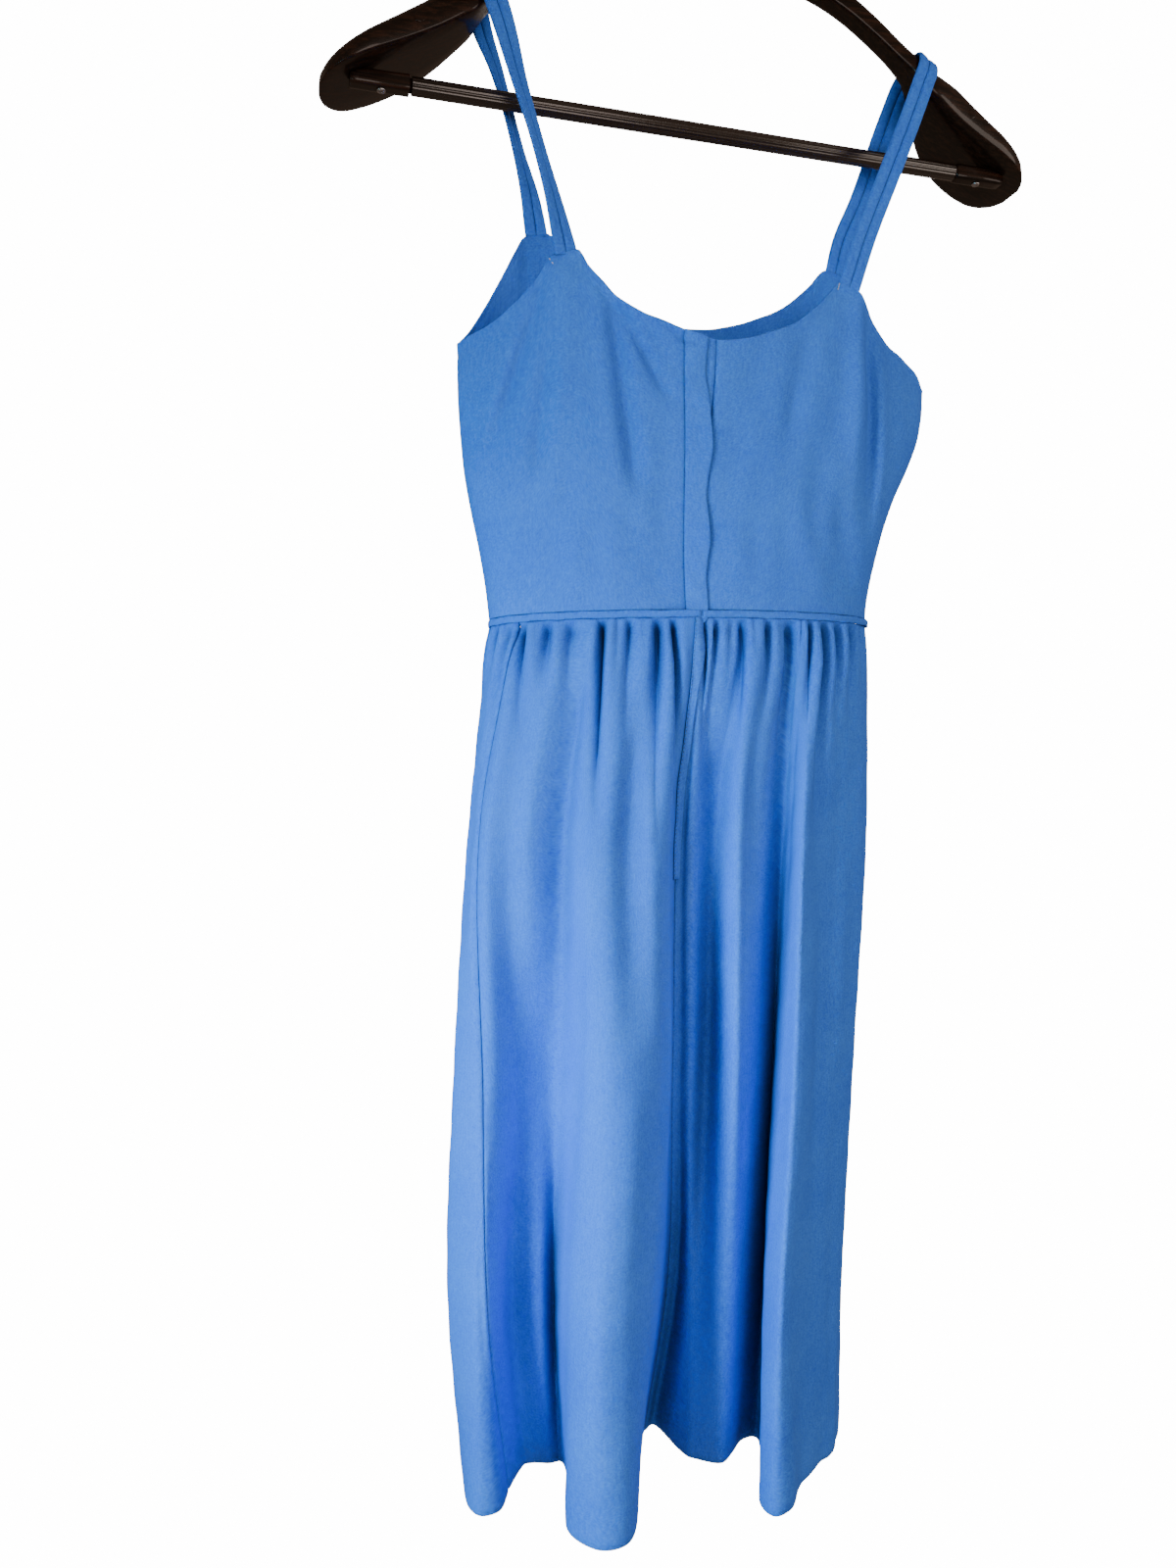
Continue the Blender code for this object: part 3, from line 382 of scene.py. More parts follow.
def build_stage(paint):
    """Floor that sweeps up all round into a backdrop; it throws no light on the dress."""
    floor, reach, bend, wall_top = STAGE
    profile = [(0.0, floor), (reach / 2, floor), (reach, floor)]
    for k in range(1, 13):
        angle = math.radians(90.0 * k / 12)
        profile.append((reach + bend * math.sin(angle), floor + bend * (1 - math.cos(angle))))
    profile.append((reach + bend, wall_top))
    sides = 64
    points = [(radius * u, radius * v, z) for radius, z in profile for u, v in circle(sides)]
    mesh = bpy.data.meshes.new("floor_and_backdrop")
    mesh.from_pydata(points, [], tube_faces(len(profile), sides, False))
    mesh.polygons.foreach_set("use_smooth", [True] * len(mesh.polygons))
    mesh.materials.append(paint)
    sweep = bpy.data.objects.new("floor_and_backdrop", mesh)
    sweep.visible_diffuse = False
    sweep.visible_glossy = False
    sweep.visible_shadow = False
    bpy.context.scene.collection.objects.link(sweep)


# Materials

def linear(code):
    """Linear colour of an sRGB hex value."""
    parts = [int(code[k:k + 2], 16) / 255 for k in (1, 3, 5)]
    return (*(c / 12.92 if c <= 0.04045 else ((c + 0.055) / 1.055) ** 2.4 for c in parts), 1.0)


def add_node(tree, kind, links=(), **settings):
    """A node with its settings; links pair one of its inputs with a value, another node's output,
    or a node whose first output is meant."""
    node = tree.nodes.new(kind)
    for key, value in settings.items():
        setattr(node, key, value)
    for place, source in links:
        if isinstance(source, bpy.types.Node):
            source = source.outputs[0]
        if isinstance(source, bpy.types.NodeSocket):
            tree.links.new(source, node.inputs[place])
        else:
            node.inputs[place].default_value = source
    return node


def new_material(name, **constants):
    """A material with its shader's constants set, its tree and its shader."""
    made = bpy.data.materials.new(name)
    made.use_nodes = True
    shader = made.node_tree.nodes["Principled BSDF"]
    for key, value in constants.items():
        shader.inputs[key.replace("_", " ")].default_value = value
    return made, made.node_tree, shader


def ramp(tree, factor, stops):
    """A colour ramp with the given places and colours."""
    node = add_node(tree, "ShaderNodeValToRGB", [(0, factor)])
    elements = node.color_ramp.elements
    elements[0].position, elements[0].color = stops[0][0], linear(stops[0][1])
    elements[1].position, elements[1].color = stops[-1][0], linear(stops[-1][1])
    for place, code in stops[1:-1]:
        elements.new(place).color = linear(code)
    return node


def object_place(tree):
    """Places in the object's own metres."""
    return add_node(tree, "ShaderNodeTexCoord").outputs["Object"]


def stretch(tree, place, scale):
    """Places squeezed along an axis, which draws the pattern out there."""
    return add_node(tree, "ShaderNodeMapping", [("Vector", place), ("Scale", scale)])


def noise(tree, place, size, detail=2.0, rough=0.5, warp=0.0):
    """Uneven grey; size is in metres, and its specks are some two thirds of it across."""
    return add_node(tree, "ShaderNodeTexNoise", [
        ("Vector", place), ("Scale", 1 / size), ("Detail", detail), ("Roughness", rough),
        ("Distortion", warp)])


def blend(tree, *parts):
    """Sum of greys, each with its share."""
    total = 0.0
    for grey, share in parts:
        total = add_node(tree, "ShaderNodeMath", [(0, grey), (1, share), (2, total)],
                         operation="MULTIPLY_ADD")
    return total


def finish(tree, shader, colour, grey, low, high, *bumps, sockets=("Normal",)):
    """Wires up a shader: its colour, roughness from low to high with the grey, and its bumps,
    each with a grey, a strength and a height in metres."""
    rough = add_node(tree, "ShaderNodeMapRange", [("Value", grey), ("To Min", low), ("To Max", high)])
    under = []
    for height, strength, distance in bumps:
        normal = add_node(tree, "ShaderNodeBump", [
            ("Height", height), ("Strength", strength), ("Distance", distance)] + under)
        under = [("Normal", normal)]
    for socket, source in (("Base Color", colour), ("Roughness", rough),
                           *((socket, normal) for socket in sockets)):
        tree.links.new(source.outputs[0], shader.inputs[socket])


def polyester_crepe(name, light, dark):
    """Piece-dyed polyester crepe, matte with a pebbled grain and a faint bloom where it turns."""
    made, tree, shader = new_material(
        name, Sheen_Weight=0.06, Sheen_Roughness=0.4, Sheen_Tint=linear("#8fb4f0"),
        Specular_IOR_Level=0.2)
    cloth = add_node(tree, "ShaderNodeUVMap", uv_map="cloth")
    # pebbles of about 0.8 mm, drawn a little coarser than the yarn so that they show
    pebble = noise(tree, cloth, 0.0012, 3.0, 0.62)
    # short lengthwise ribs, some 1 mm apart
    rib = noise(tree, stretch(tree, cloth, (1.0, 0.28, 1.0)), 0.0016)
    # slow changes of shade over some 30 mm, from wear and pressing
    cloud = noise(tree, cloth, 0.045, 3.0)
    grey = blend(tree, (pebble, 0.55), (rib, 0.27), (cloud, 0.18))
    colour = ramp(tree, grey, [(0.34, dark), (0.66, light)])
    # painted shade: an ambient occlusion test darkens the colour in small folds and hollows, up to
    # some 18 mm deep, while ridges keep the full colour
    painted_fold_shade = add_node(tree, "ShaderNodeAmbientOcclusion", [("Distance", 0.018)], samples=8)
    shade = add_node(tree, "ShaderNodeMapRange", [
        ("Value", painted_fold_shade.outputs["AO"]), ("From Min", 0.2), ("From Max", 0.95), ("To Min", 0.22)])
    shaded = add_node(tree, "ShaderNodeVectorMath", [(0, colour), ("Scale", shade)],
                      operation="SCALE")
    finish(tree, shader, shaded, rib, 0.74, 0.92, (pebble, 0.8, 0.0003), (rib, 0.4, 0.00022))
    return made


def lacquered_beech(name):
    """Stained beech under gloss lacquer: almost black, with brown grain where light strikes it."""
    made, tree, shader = new_material(
        name, Coat_Weight=0.4, Coat_Roughness=0.06, Coat_IOR=1.45, Specular_IOR_Level=0.15)
    place = object_place(tree)
    # grain runs along the arms: streaks 1.5 mm wide and some 50 mm long
    along = stretch(tree, place, (0.03, 1.0, 1.0))
    grain = noise(tree, along, 0.0024, 5.0, 0.6, 0.4)
    # pores are dark dashes 0.4 mm wide
    pores = noise(tree, along, 0.0006)
    colour = ramp(tree, blend(tree, (grain, 1.0), (pores, 0.3)),
                  [(0.45, "#0b0604"), (0.62, "#170c07"), (0.8, "#301b10")])
    # the lacquer has a slight orange peel, 3 mm across
    peel = noise(tree, place, 0.004)
    finish(tree, shader, colour, grain, 0.28, 0.5, (peel, 0.25, 0.00012),
           sockets=("Normal", "Coat Normal"))
    return made


def smoked_vinyl(name):
    """Extruded PVC sleeve, dark and smooth, with die lines along it that draw out the highlights."""
    made, tree, shader = new_material(name, Coat_Weight=0.6, Coat_Roughness=0.12)
    lines = noise(tree, stretch(tree, object_place(tree), (0.01, 1.0, 1.0)), 0.0007)
    colour = ramp(tree, lines, [(0.35, "#120d0b"), (0.65, "#2b211c")])
    finish(tree, shader, colour, lines, 0.18, 0.34, (lines, 0.35, 0.0001))
    return made


def plated_steel(name, dull, bright, low, high, size):
    """Steel wire or screw head under bright plating, with fine drawing marks."""
    made, tree, shader = new_material(name, Metallic=1.0)
    marks = noise(tree, object_place(tree), size, 3.0)
    colour = ramp(tree, marks, [(0.3, dull), (0.7, bright)])
    finish(tree, shader, colour, marks, low, high, (marks, 0.15, 0.00005))
    return made


def sewing_thread(name, light, dark):
    """Spun polyester thread: soft, with the two plies of its twist."""
    made, tree, shader = new_material(name, Sheen_Weight=0.3, Specular_IOR_Level=0.3)
    plies = noise(tree, object_place(tree), 0.0004)
    colour = ramp(tree, plies, [(0.35, dark), (0.65, light)])
    finish(tree, shader, colour, plies, 0.6, 0.85, (plies, 0.5, 0.0001))
    return made


def matt_paint(name):
    """Backdrop paper: almost white and even, and bright by itself."""
    made, tree, shader = new_material(name, Roughness=0.95, Specular_IOR_Level=0.1,
                                      Emission_Color=(1.0, 1.0, 1.0, 1.0), Emission_Strength=15.0)
    # faint blotches in the paper, some 10 mm across
    blotches = noise(tree, object_place(tree), 1 / 60)
    colour = ramp(tree, blotches, [(0.3, "#f4f4f4"), (0.7, "#f7f7f7")])
    tree.links.new(colour.outputs[0], shader.inputs["Base Color"])
    return made


# Curves

def smooth_curve(knots, values, at, period=None):
    """Values read off a smooth curve through the knots, closed on itself if period is given."""
    knots, values, at = (np.asarray(given, float) for given in (knots, values, at))
    if period:
        at = np.mod(at - knots[0], period) + knots[0]
        knots = np.concatenate([[knots[-1] - period], knots, knots[:2] + period])
        values = np.concatenate([values[-1:], values, values[:2]])
    step = np.diff(knots)[:, None]
    slope = np.diff(values, axis=0) / step
    tangent = np.empty_like(values)
    tangent[1:-1] = (slope[:-1] * step[1:] + slope[1:] * step[:-1]) / (step[:-1] + step[1:])
    tangent[0] = slope[0]
    tangent[-1] = slope[-1]
    low = np.clip(np.searchsorted(knots, at, side="right") - 1, 0, len(knots) - 2)
    h = step[low]
    t = ((at - knots[low])[:, None]) / h
    near = (1 + 2 * t) * (1 - t) ** 2 * values[low] + t * (1 - t) ** 2 * h * tangent[low]
    far = t * t * (3 - 2 * t) * values[low + 1] + t * t * (t - 1) * h * tangent[low + 1]
    return near + far


def read_off(at, knots, points):
    """Points read off straight lines between the given ones."""
    return np.stack([np.interp(at, knots, points[:, k]) for k in range(3)], axis=-1)


def circle(sides, turn=0.0):
    """Cosine and sine of even steps round a circle."""
    angles = [2 * math.pi * k / sides + turn for k in range(sides)]
    return [(math.cos(angle), math.sin(angle)) for angle in angles]


def boxy(value, power):
    """A cosine or sine with its size raised to a power, which squares up a round outline."""
    return math.copysign(abs(value) ** power, value)


def unit(vectors):
    """The vectors at length one."""
    return vectors / np.linalg.norm(vectors, axis=-1, keepdims=True)


def path_lengths(points):
    """Length of the path up to each point; for a grid, of each column from its top row."""
    steps = np.linalg.norm(np.diff(np.asarray(points, float), axis=0), axis=-1)
    return np.concatenate([np.zeros((1, *steps.shape[1:])), np.cumsum(steps, axis=0)])


def waist_height(x):
    """Height of the waist seam, which tilts a little."""
    return WAIST_HEIGHT + WAIST_TILT * (x - WAIST_MID[0])


def waist_point(share):
    """Point of the waist ellipse: share 0 is the left side, 0.5 the right, the near half first."""
    angle = math.pi + 2 * math.pi * np.asarray(share, float)
    x = WAIST_MID[0] + WAIST_HALF[0] * np.cos(angle)
    y = WAIST_MID[1] + WAIST_HALF[1] * np.sin(angle)
    return np.stack([x, y], axis=-1)


def waist_share(x):
    """Share round the waist ellipse of the near point at x."""
    across = np.clip((x - WAIST_MID[0]) / WAIST_HALF[0], -1.0, 1.0)
    return math.acos(-across) / (2 * math.pi)


def ripple(along, across, seed, waves, shortest, longest):
    """Small uneven waves over a sheet: a sum of slanting sines, about 1 high in all."""
    dice = np.random.default_rng(seed)
    total = np.zeros(np.broadcast(along, across).shape)
    for _ in range(waves):
        length = shortest * (longest / shortest) ** dice.random()
        heading = dice.normal(0.0, 0.35)
        turn = dice.random() * 2 * math.pi
        wave = (across * math.cos(heading) + along * math.sin(heading)) / length
        total += np.sin(2 * math.pi * wave + turn)
    return total / math.sqrt(waves)


# Meshes

def add_piece(name, points, faces, stuff, nodes=(), cloth=None):
    """A piece from points in millimetres; cloth holds each point's place on the flat cloth."""
    mesh = bpy.data.meshes.new(name)
    mesh.from_pydata((np.asarray(points, float) * MM).tolist(), [], faces)
    if cloth is not None:
        corner = np.empty(len(mesh.loops), np.int32)
        mesh.loops.foreach_get("vertex_index", corner)
        places = np.asarray(cloth, float)[corner] * MM
        layer = mesh.uv_layers.new(name="cloth")
        layer.data.foreach_set("uv", places.astype(np.float32).ravel())
    work = bmesh.new()
    work.from_mesh(mesh)
    bmesh.ops.recalc_face_normals(work, faces=work.faces)
    work.to_mesh(mesh)
    work.free()
    mesh.polygons.foreach_set("use_smooth", [True] * len(mesh.polygons))
    mesh.materials.append(stuff)
    made = bpy.data.objects.new(name, mesh)
    bpy.context.scene.collection.objects.link(made)
    if nodes:
        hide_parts(*nodes)
    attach(made, "root")
    return made


def cloth_shell(node, middle, normals, half, crepe, start=0.0):
    """Thin closed shell round a grid of points, rounded at its border as folded cloth is. Start
    is how far round the cloth its weave begins."""
    rows, columns = middle.shape[:2]
    half = np.broadcast_to(np.asarray(half, float), (rows, columns)).copy()
    rim = [(0, c) for c in range(columns)]
    rim += [(r, columns - 1) for r in range(1, rows)]
    rim += [(rows - 1, c) for c in range(columns - 2, -1, -1)]
    rim += [(r, 0) for r in range(rows - 2, 0, -1)]
    border = tuple(np.array(rim).T)
    within = (np.clip(border[0], 1, rows - 2), np.clip(border[1], 1, columns - 2))
    away = unit(middle[border] - middle[within])
    lips = middle[border] + away * half[border][:, None] * 0.5
    half[border] *= 0.72
    outer = middle + normals * half[:, :, None]
    inner = middle - normals * half[:, :, None]
    points = np.concatenate([outer.reshape(-1, 3), inner.reshape(-1, 3), lips])
    cloth = flat_places(middle)
    cloth[..., 0] += start
    places = np.concatenate([cloth.reshape(-1, 2), cloth.reshape(-1, 2), cloth[border]])
    offset = rows * columns
    first = (np.arange(rows - 1)[:, None] * columns + np.arange(columns - 1)[None, :]).ravel()
    quads = np.stack([first, first + 1, first + columns + 1, first + columns], axis=1)
    faces = quads.tolist() + (quads[:, ::-1] + offset).tolist()
    flat = (border[0] * columns + border[1]).tolist()
    count = len(rim)
    for k in range(count):
        n = (k + 1) % count
        a, b = flat[k], flat[n]
        lip_a, lip_b = 2 * offset + k, 2 * offset + n
        faces.append((a, lip_a, lip_b, b))
        faces.append((lip_a, offset + a, offset + b, lip_b))
    return add_piece(node + "_cloth", points, faces, crepe, [node], places)


def surface_normals(grid, closed):
    """Unit normals of a grid whose columns run anticlockwise and whose rows run down."""
    if closed:
        across = np.roll(grid, -1, axis=1) - np.roll(grid, 1, axis=1)
    else:
        across = np.gradient(grid, axis=1)
    return unit(np.cross(np.gradient(grid, axis=0), across))


def flat_places(grid):
    """Each point's place on the flat cloth: across along a lower row, and down its column."""
    across = path_lengths(grid[grid.shape[0] * 2 // 3])
    down = path_lengths(grid)
    return np.stack([np.broadcast_to(across, down.shape), -down], axis=-1)


def tube_faces(rings, sides, closed):
    """Faces of a tube through rings of points."""
    faces = []
    last = rings if closed else rings - 1
    for r in range(last):
        here, there = r * sides, ((r + 1) % rings) * sides
        for k in range(sides):
            n = (k + 1) % sides
            faces.append((here + k, here + n, there + n, there + k))
    return faces


def tube(name, rings, stuff, nodes=(), cloth=None, closed=False):
    """A piece through rings of points: with flat ends, or closed on itself like a washer."""
    count, sides = len(rings), len(rings[0])
    faces = tube_faces(count, sides, closed)
    if not closed:
        faces += [tuple(range(sides)), tuple(range((count - 1) * sides, count * sides))]
    return add_piece(name, np.concatenate(rings), faces, stuff, nodes, cloth)


# Skirt

def skirt_controls():
    """Fold lines round the skirt: for each one x and y on every level, waist first."""
    lines = []
    hip_left, hip_right = NEAR_FOLDS[0][1], NEAR_FOLDS[-1][1]
    share = -1.0
    # at the waist a fold's place follows both its turn in the table and its x at the hip
    for index, (_, *places) in enumerate(NEAR_FOLDS):
        even = index / (len(NEAR_FOLDS) - 1)
        by_hip = (places[0] - hip_left) / (hip_right - hip_left)
        x = WAIST_MID[0] + WAIST_HALF[0] * (2 * (0.35 * even + 0.65 * by_hip) - 1)
        share = max(waist_share(x), share + 0.006)
        lines.append([tuple(waist_point(share)), *zip(places[::2], places[1::2])])
    for index, hem in enumerate(FAR_FOLDS):
        top = waist_point(0.5 + 0.5 * (index + 1) / (len(FAR_FOLDS) + 1))
        lines.append([tuple(top), *(tuple(top * (1 - s) + np.array(hem) * s) for s in FAR_SHARES)])
    return np.array(lines)


def skirt_parameters(controls):
    """Position of each fold line round the cloth, from 0 to 1, and where the three seams are."""
    loops = np.concatenate([controls, controls[:1]])
    shares = []
    # the waist counts most, then the levels from the knee down
    for level, weight in ((0, 0.6), (2, 0.13), (3, 0.13), (4, 0.14)):
        lengths = path_lengths(loops[:, level])
        shares.append(weight * lengths / lengths[-1])
    position = np.sum(shares, axis=0)[:-1]
    names = [row[0] for row in NEAR_FOLDS]
    seams = ("left_seam", "back_seam", "right_seam")
    return position, {name: position[names.index(name)] for name in seams}


SKIRT_CONTROLS = skirt_controls()
SKIRT_KNOTS, SKIRT_SEAMS = skirt_parameters(SKIRT_CONTROLS)


def skirt_ring(z, positions):
    """x and y round the skirt's fold form at one height."""
    flat = SKIRT_CONTROLS.transpose(1, 0, 2).reshape(len(SKIRT_LEVELS), -1)
    ring = smooth_curve(-np.array(SKIRT_LEVELS), flat, [-z])[0].reshape(-1, 2)
    return smooth_curve(SKIRT_KNOTS, ring, positions, 1.0)


def place_on_skirt(x, z):
    """Position round the cloth of the near point at x and one height."""
    tries = np.linspace(SKIRT_SEAMS["left_seam"], SKIRT_SEAMS["right_seam"], 1500)
    ring = skirt_ring(z, tries)
    return tries[np.argmin(np.abs(ring[:, 0] - x) + 0.15 * (ring[:, 1] + 50))]


def skirt_strokes():
    """Gathers and creases as strokes: top z, low z, both positions, depth, half width, gather."""
    top = SKIRT_LEVELS[0]
    gathers = [(x, top, low_x, top - fall * GATHER_FALL, depth, width)
               for x, low_x, fall, depth, width in NEAR_GATHERS]
    near = [(z, low_z, place_on_skirt(x, z), place_on_skirt(low_x, low_z), depth, width)
            for x, z, low_x, low_z, depth, width in (*gathers, *NEAR_CREASES)]
    cut = len(gathers)
    strokes = [(*stroke, True) for stroke in near[:cut]]
    # the far side's gathers and creases are even but for chance
    dice = np.random.default_rng(7)
    start, end = SKIRT_SEAMS["right_seam"], SKIRT_SEAMS["left_seam"] + 1.0
    count = GATHERS - cut
    spots = start + (end - start) * (np.arange(count) + 0.5 + dice.uniform(-0.3, 0.3, count)) / count
    for spot in spots:
        fall = 22.0 + 90.0 * dice.random() ** 2
        depth = 1.4 + 1.0 * dice.random()
        width = 2.5 + 0.9 * dice.random()
        strokes.append((top, top - fall, spot, spot + dice.normal(0.0, 0.002), depth, width, True))
    for spot in spots[1::3]:
        high = -548.0 - 24 * dice.random()
        low = high - 70 - 60 * dice.random()
        strokes.append((high, low, spot + 0.008, spot + 0.01, 1.3, 5.0, False))
    return strokes + [(*stroke, False) for stroke in near[cut:]]


def apart(positions, place):
    """Share of the round between positions and a place, the short way."""
    return np.abs(np.mod(positions - place + 0.5, 1.0) - 0.5)


def skirt_surface(positions, drops, strokes):
    """Points of the skirt's middle surface: a row for each drop from waist (0) to hem (1)."""
    waist = SKIRT_LEVELS[0]
    waist_round = 2 * math.pi * math.sqrt((WAIST_HALF[0] ** 2 + WAIST_HALF[1] ** 2) / 2)
    heights = waist + np.asarray(drops) * (HEM_HEIGHT - waist)
    tilt = WAIST_TILT * (skirt_ring(waist, positions)[:, 0] - WAIST_MID[0])
    # small waves all over, stilled near the seams and at the waist
    waves = SKIRT_WAVES * ripple(heights[:, None], positions[None, :] * CLOTH_ROUND, 3, 9, 26.0, 90.0)
    nearest = np.min([apart(positions, seam) for seam in SKIRT_SEAMS.values()], axis=0)
    waves *= 1 - np.exp(-(nearest * CLOTH_ROUND / 9.0) ** 2)
    grid = np.empty((len(drops), len(positions), 3))
    for r, z in enumerate(heights):
        below = waist - z
        lift = waves[r] * min(1.0, below / 60.0)
        for top, low, start, end, depth, width, gather in strokes:
            if not low <= z <= top:
                continue
            t = (top - z) / (top - low)
            away = apart(positions, start + (end - start) * t) * waist_round
            if gather:
                depth *= GATHER_BOOST * (1 - t) ** 1.1
                depth *= GATHER_AT_SEAM + (1 - GATHER_AT_SEAM) * min(1.0, below / GATHER_FULL)
                bulge = BULGE * min(1.0, below / BULGE_FALL) ** 0.7
                lift += depth * width * bulge * np.exp(-(away / BULGE_WIDTH) ** 2)
            else:
                depth *= math.sin(math.pi * t) ** 1.2
            lift -= depth * np.exp(-(away / (width * (1 + 0.6 * t))) ** 1.6)
        # the seam holds the cloth at the piping
        lift = np.maximum(lift, -0.7 - 1.3 * below)
        xy = skirt_ring(z, positions)
        along = np.roll(xy, -1, axis=0) - np.roll(xy, 1, axis=0)
        outward = unit(np.stack([along[:, 1], -along[:, 0]], axis=1))
        grid[r, :, :2] = xy + outward * lift[:, None]
        grid[r, :, 2] = z + tilt * (1 - drops[r]) + 0.4 * max(0.0, 1 - below / 3.0)
    return grid


def build_skirt(crepe):
    """Three gathered panels with their seams pressed in; gives the strokes too."""
    positions, cuts = [], [0]
    stops = [*SKIRT_SEAMS.values(), SKIRT_SEAMS["left_seam"] + 1.0]
    for start, end in zip(stops, stops[1:]):
        count = round(SKIRT_COLUMNS * (end - start))
        positions += list(start + (end - start) * np.arange(count) / count)
        cuts.append(len(positions))
    positions = np.mod(np.array(positions), 1.0)
    # the rows lie closer together near the waist
    drops = (np.arange(SKIRT_ROWS + 1) / SKIRT_ROWS) ** 1.2
    strokes = skirt_strokes()
    middle = skirt_surface(positions, drops, strokes)
    normals = surface_normals(middle, True)
    half = CLOTH_HALF + HEM_EXTRA * ((1 - drops) * (SKIRT_LEVELS[0] - HEM_HEIGHT) < HEM_TURN)
    made = {}
    names = ("skirt_back_left", "skirt_back_right", "skirt_front")
    for name, start, end in zip(names, cuts, cuts[1:]):
        pick = np.arange(start, end + 1) % len(positions)
        panel, facing = middle[:, pick], normals[:, pick]
        for step in (1, -1):
            # the panel as seen from one seam, then from the other
            columns, outward = panel[:, ::step], facing[:, ::step]
            toward = unit(columns[:, 1] - columns[:, 0]) * SLIT
            reach = path_lengths(columns[:, :4].swapaxes(0, 1)).T
            dent = SEAM_DENT * np.exp(-(reach / SEAM_WIDTH) ** 2)
            columns[:, :4] -= outward[:, :4] * dent[:, :, None]
            columns[:, 0] += toward
        made[name] = cloth_shell(name, panel, facing, half[:, None], crepe,
                                 positions[start] * WEAVE_ROUND)
    return made, strokes


def build_skirt_lap(crepe, strokes):
    """Pressed strip over the lower end of the zip, a little raised along its free edge."""
    seam = SKIRT_SEAMS["back_seam"]
    rows, columns = 60, 15
    left, right = (away / PART_COLUMNS for away in LAP_COLUMNS)
    across = np.linspace(seam - left, seam + right, columns)
    # one more column on each side gives the normals of the strip's edges
    wide = np.concatenate([[across[0] - 0.002], across, [across[-1] + 0.002]])
    base = skirt_strip(wide, np.linspace(0.0, LAP_DROP, rows), strokes)
    normals = surface_normals(base, False)[:, 1:-1]
    share = np.linspace(0, 1, columns)[None, :, None]
    fall = np.linspace(0, 1, rows)[:, None, None]
    lift = 1.05 + 0.9 * share ** 2 * (0.6 + 0.4 * np.sin(fall * 17.0)) * (1 - fall ** 3)
    return cloth_shell("zip_lap_skirt", base[:, 1:-1] + normals * lift, normals, 0.42, crepe)


def skirt_strip(positions, drops, strokes):
    """A strip of the skirt's surface that isn't closed round."""
    full = np.linspace(0, 1, 2400, endpoint=False)
    return np.stack([read_off(positions, full, row) for row in skirt_surface(full, drops, strokes)])


# Bodice

def bodice_sides(z):
    """x of the bodice's left and right side at some heights."""
    return smooth_curve(BODICE_SIDES[:, 0], BODICE_SIDES[:, 1:], np.minimum(z, UNDERARM_HEIGHT))


def bodice_ring(share, z, near):
    """x and y of the bodice's middle surface, share 0 at one side seam and 1 at the other."""
    left, right = bodice_sides(z.ravel()).T.reshape(2, *z.shape)
    fill = np.clip((z - WAIST_HEIGHT) / (UNDERARM_HEIGHT - WAIST_HEIGHT), 0.0, 1.0)
    depth = WAIST_HALF[1] + (BODICE_HALF_DEPTH - WAIST_HALF[1]) * fill
    angle = math.pi * share
    side = -1.0 if near else 1.0
    x = (left + right) / 2 + side * (right - left) / 2 * np.cos(angle)
    return np.stack([x, side * depth * np.sin(angle)], axis=-1)


def trough_depth(x, z, troughs):
    """How far the soft creases push the cloth in."""
    total = np.zeros(np.shape(x))
    for top_x, top_z, low_x, low_z, width, depth in troughs:
        along = (z - top_z) / (low_z - top_z)
        centre = top_x + (low_x - top_x) * along
        inside = (along >= 0.0) & (along <= 1.0)
        ends = np.where(inside, np.maximum(0.0, 1.0 - (2 * along - 1.0) ** 4), 0.0)
        total += depth * ends * np.exp(-((x - centre) / width) ** 2)
    return total


def bodice_surface(near, shares, rows):
    """Grid of one side of the bodice from its top edge down to the waist."""
    edge = np.array(NEAR_EDGE if near else FAR_EDGE, float)
    lengths = path_lengths(edge)
    dense = smooth_curve(lengths, edge, np.linspace(0, lengths[-1], 900))
    # where each point of the edge lies round the bodice, always further on than the last
    sides = bodice_sides(dense[:, 2])
    across = (dense[:, 0] - sides.mean(axis=1)) / ((sides[:, 1] - sides[:, 0]) / 2)
    found = np.arccos(np.clip(-across if near else across, -1.0, 1.0)) / math.pi
    found = np.maximum.accumulate(found + np.arange(len(found)) * 1e-7)
    tops = read_off(shares, found, dense)
    base_x = bodice_ring(shares, np.full(len(shares), WAIST_HEIGHT), near)[:, 0]
    base_z = waist_height(base_x) + PIPING_TALL / 2 + GAP
    shift = tops[:, :2] - bodice_ring(shares, tops[:, 2], near)
    fall = np.asarray(rows)[:, None]
    z = tops[:, 2] + (base_z - tops[:, 2]) * fall
    xy = bodice_ring(np.broadcast_to(shares, z.shape), z, near) + shift * ((1 - fall) ** 2)[..., None]
    push = trough_depth(xy[..., 0], z, NEAR_TROUGHS if near else FAR_TROUGHS)
    # small waves, stilled at the side seams and at the waist
    calm = np.clip(np.minimum(shares, 1 - shares) / 0.06, 0, 1) * np.clip((1 - fall) / 0.05, 0, 1)
    push += BODICE_WAVES * calm * ripple(z, xy[..., 0], 11 if near else 12, 9, 18.0, 70.0)
    xy[..., 1] += push if near else -push
    return np.concatenate([xy, z[..., None]], axis=-1)


def bodice_rows():
    """Shares of the fall from top edge to waist, closer together at both ends."""
    even = np.linspace(0, 1, BODICE_ROWS)
    return even - 0.9 * np.sin(2 * math.pi * even) / (2 * math.pi)


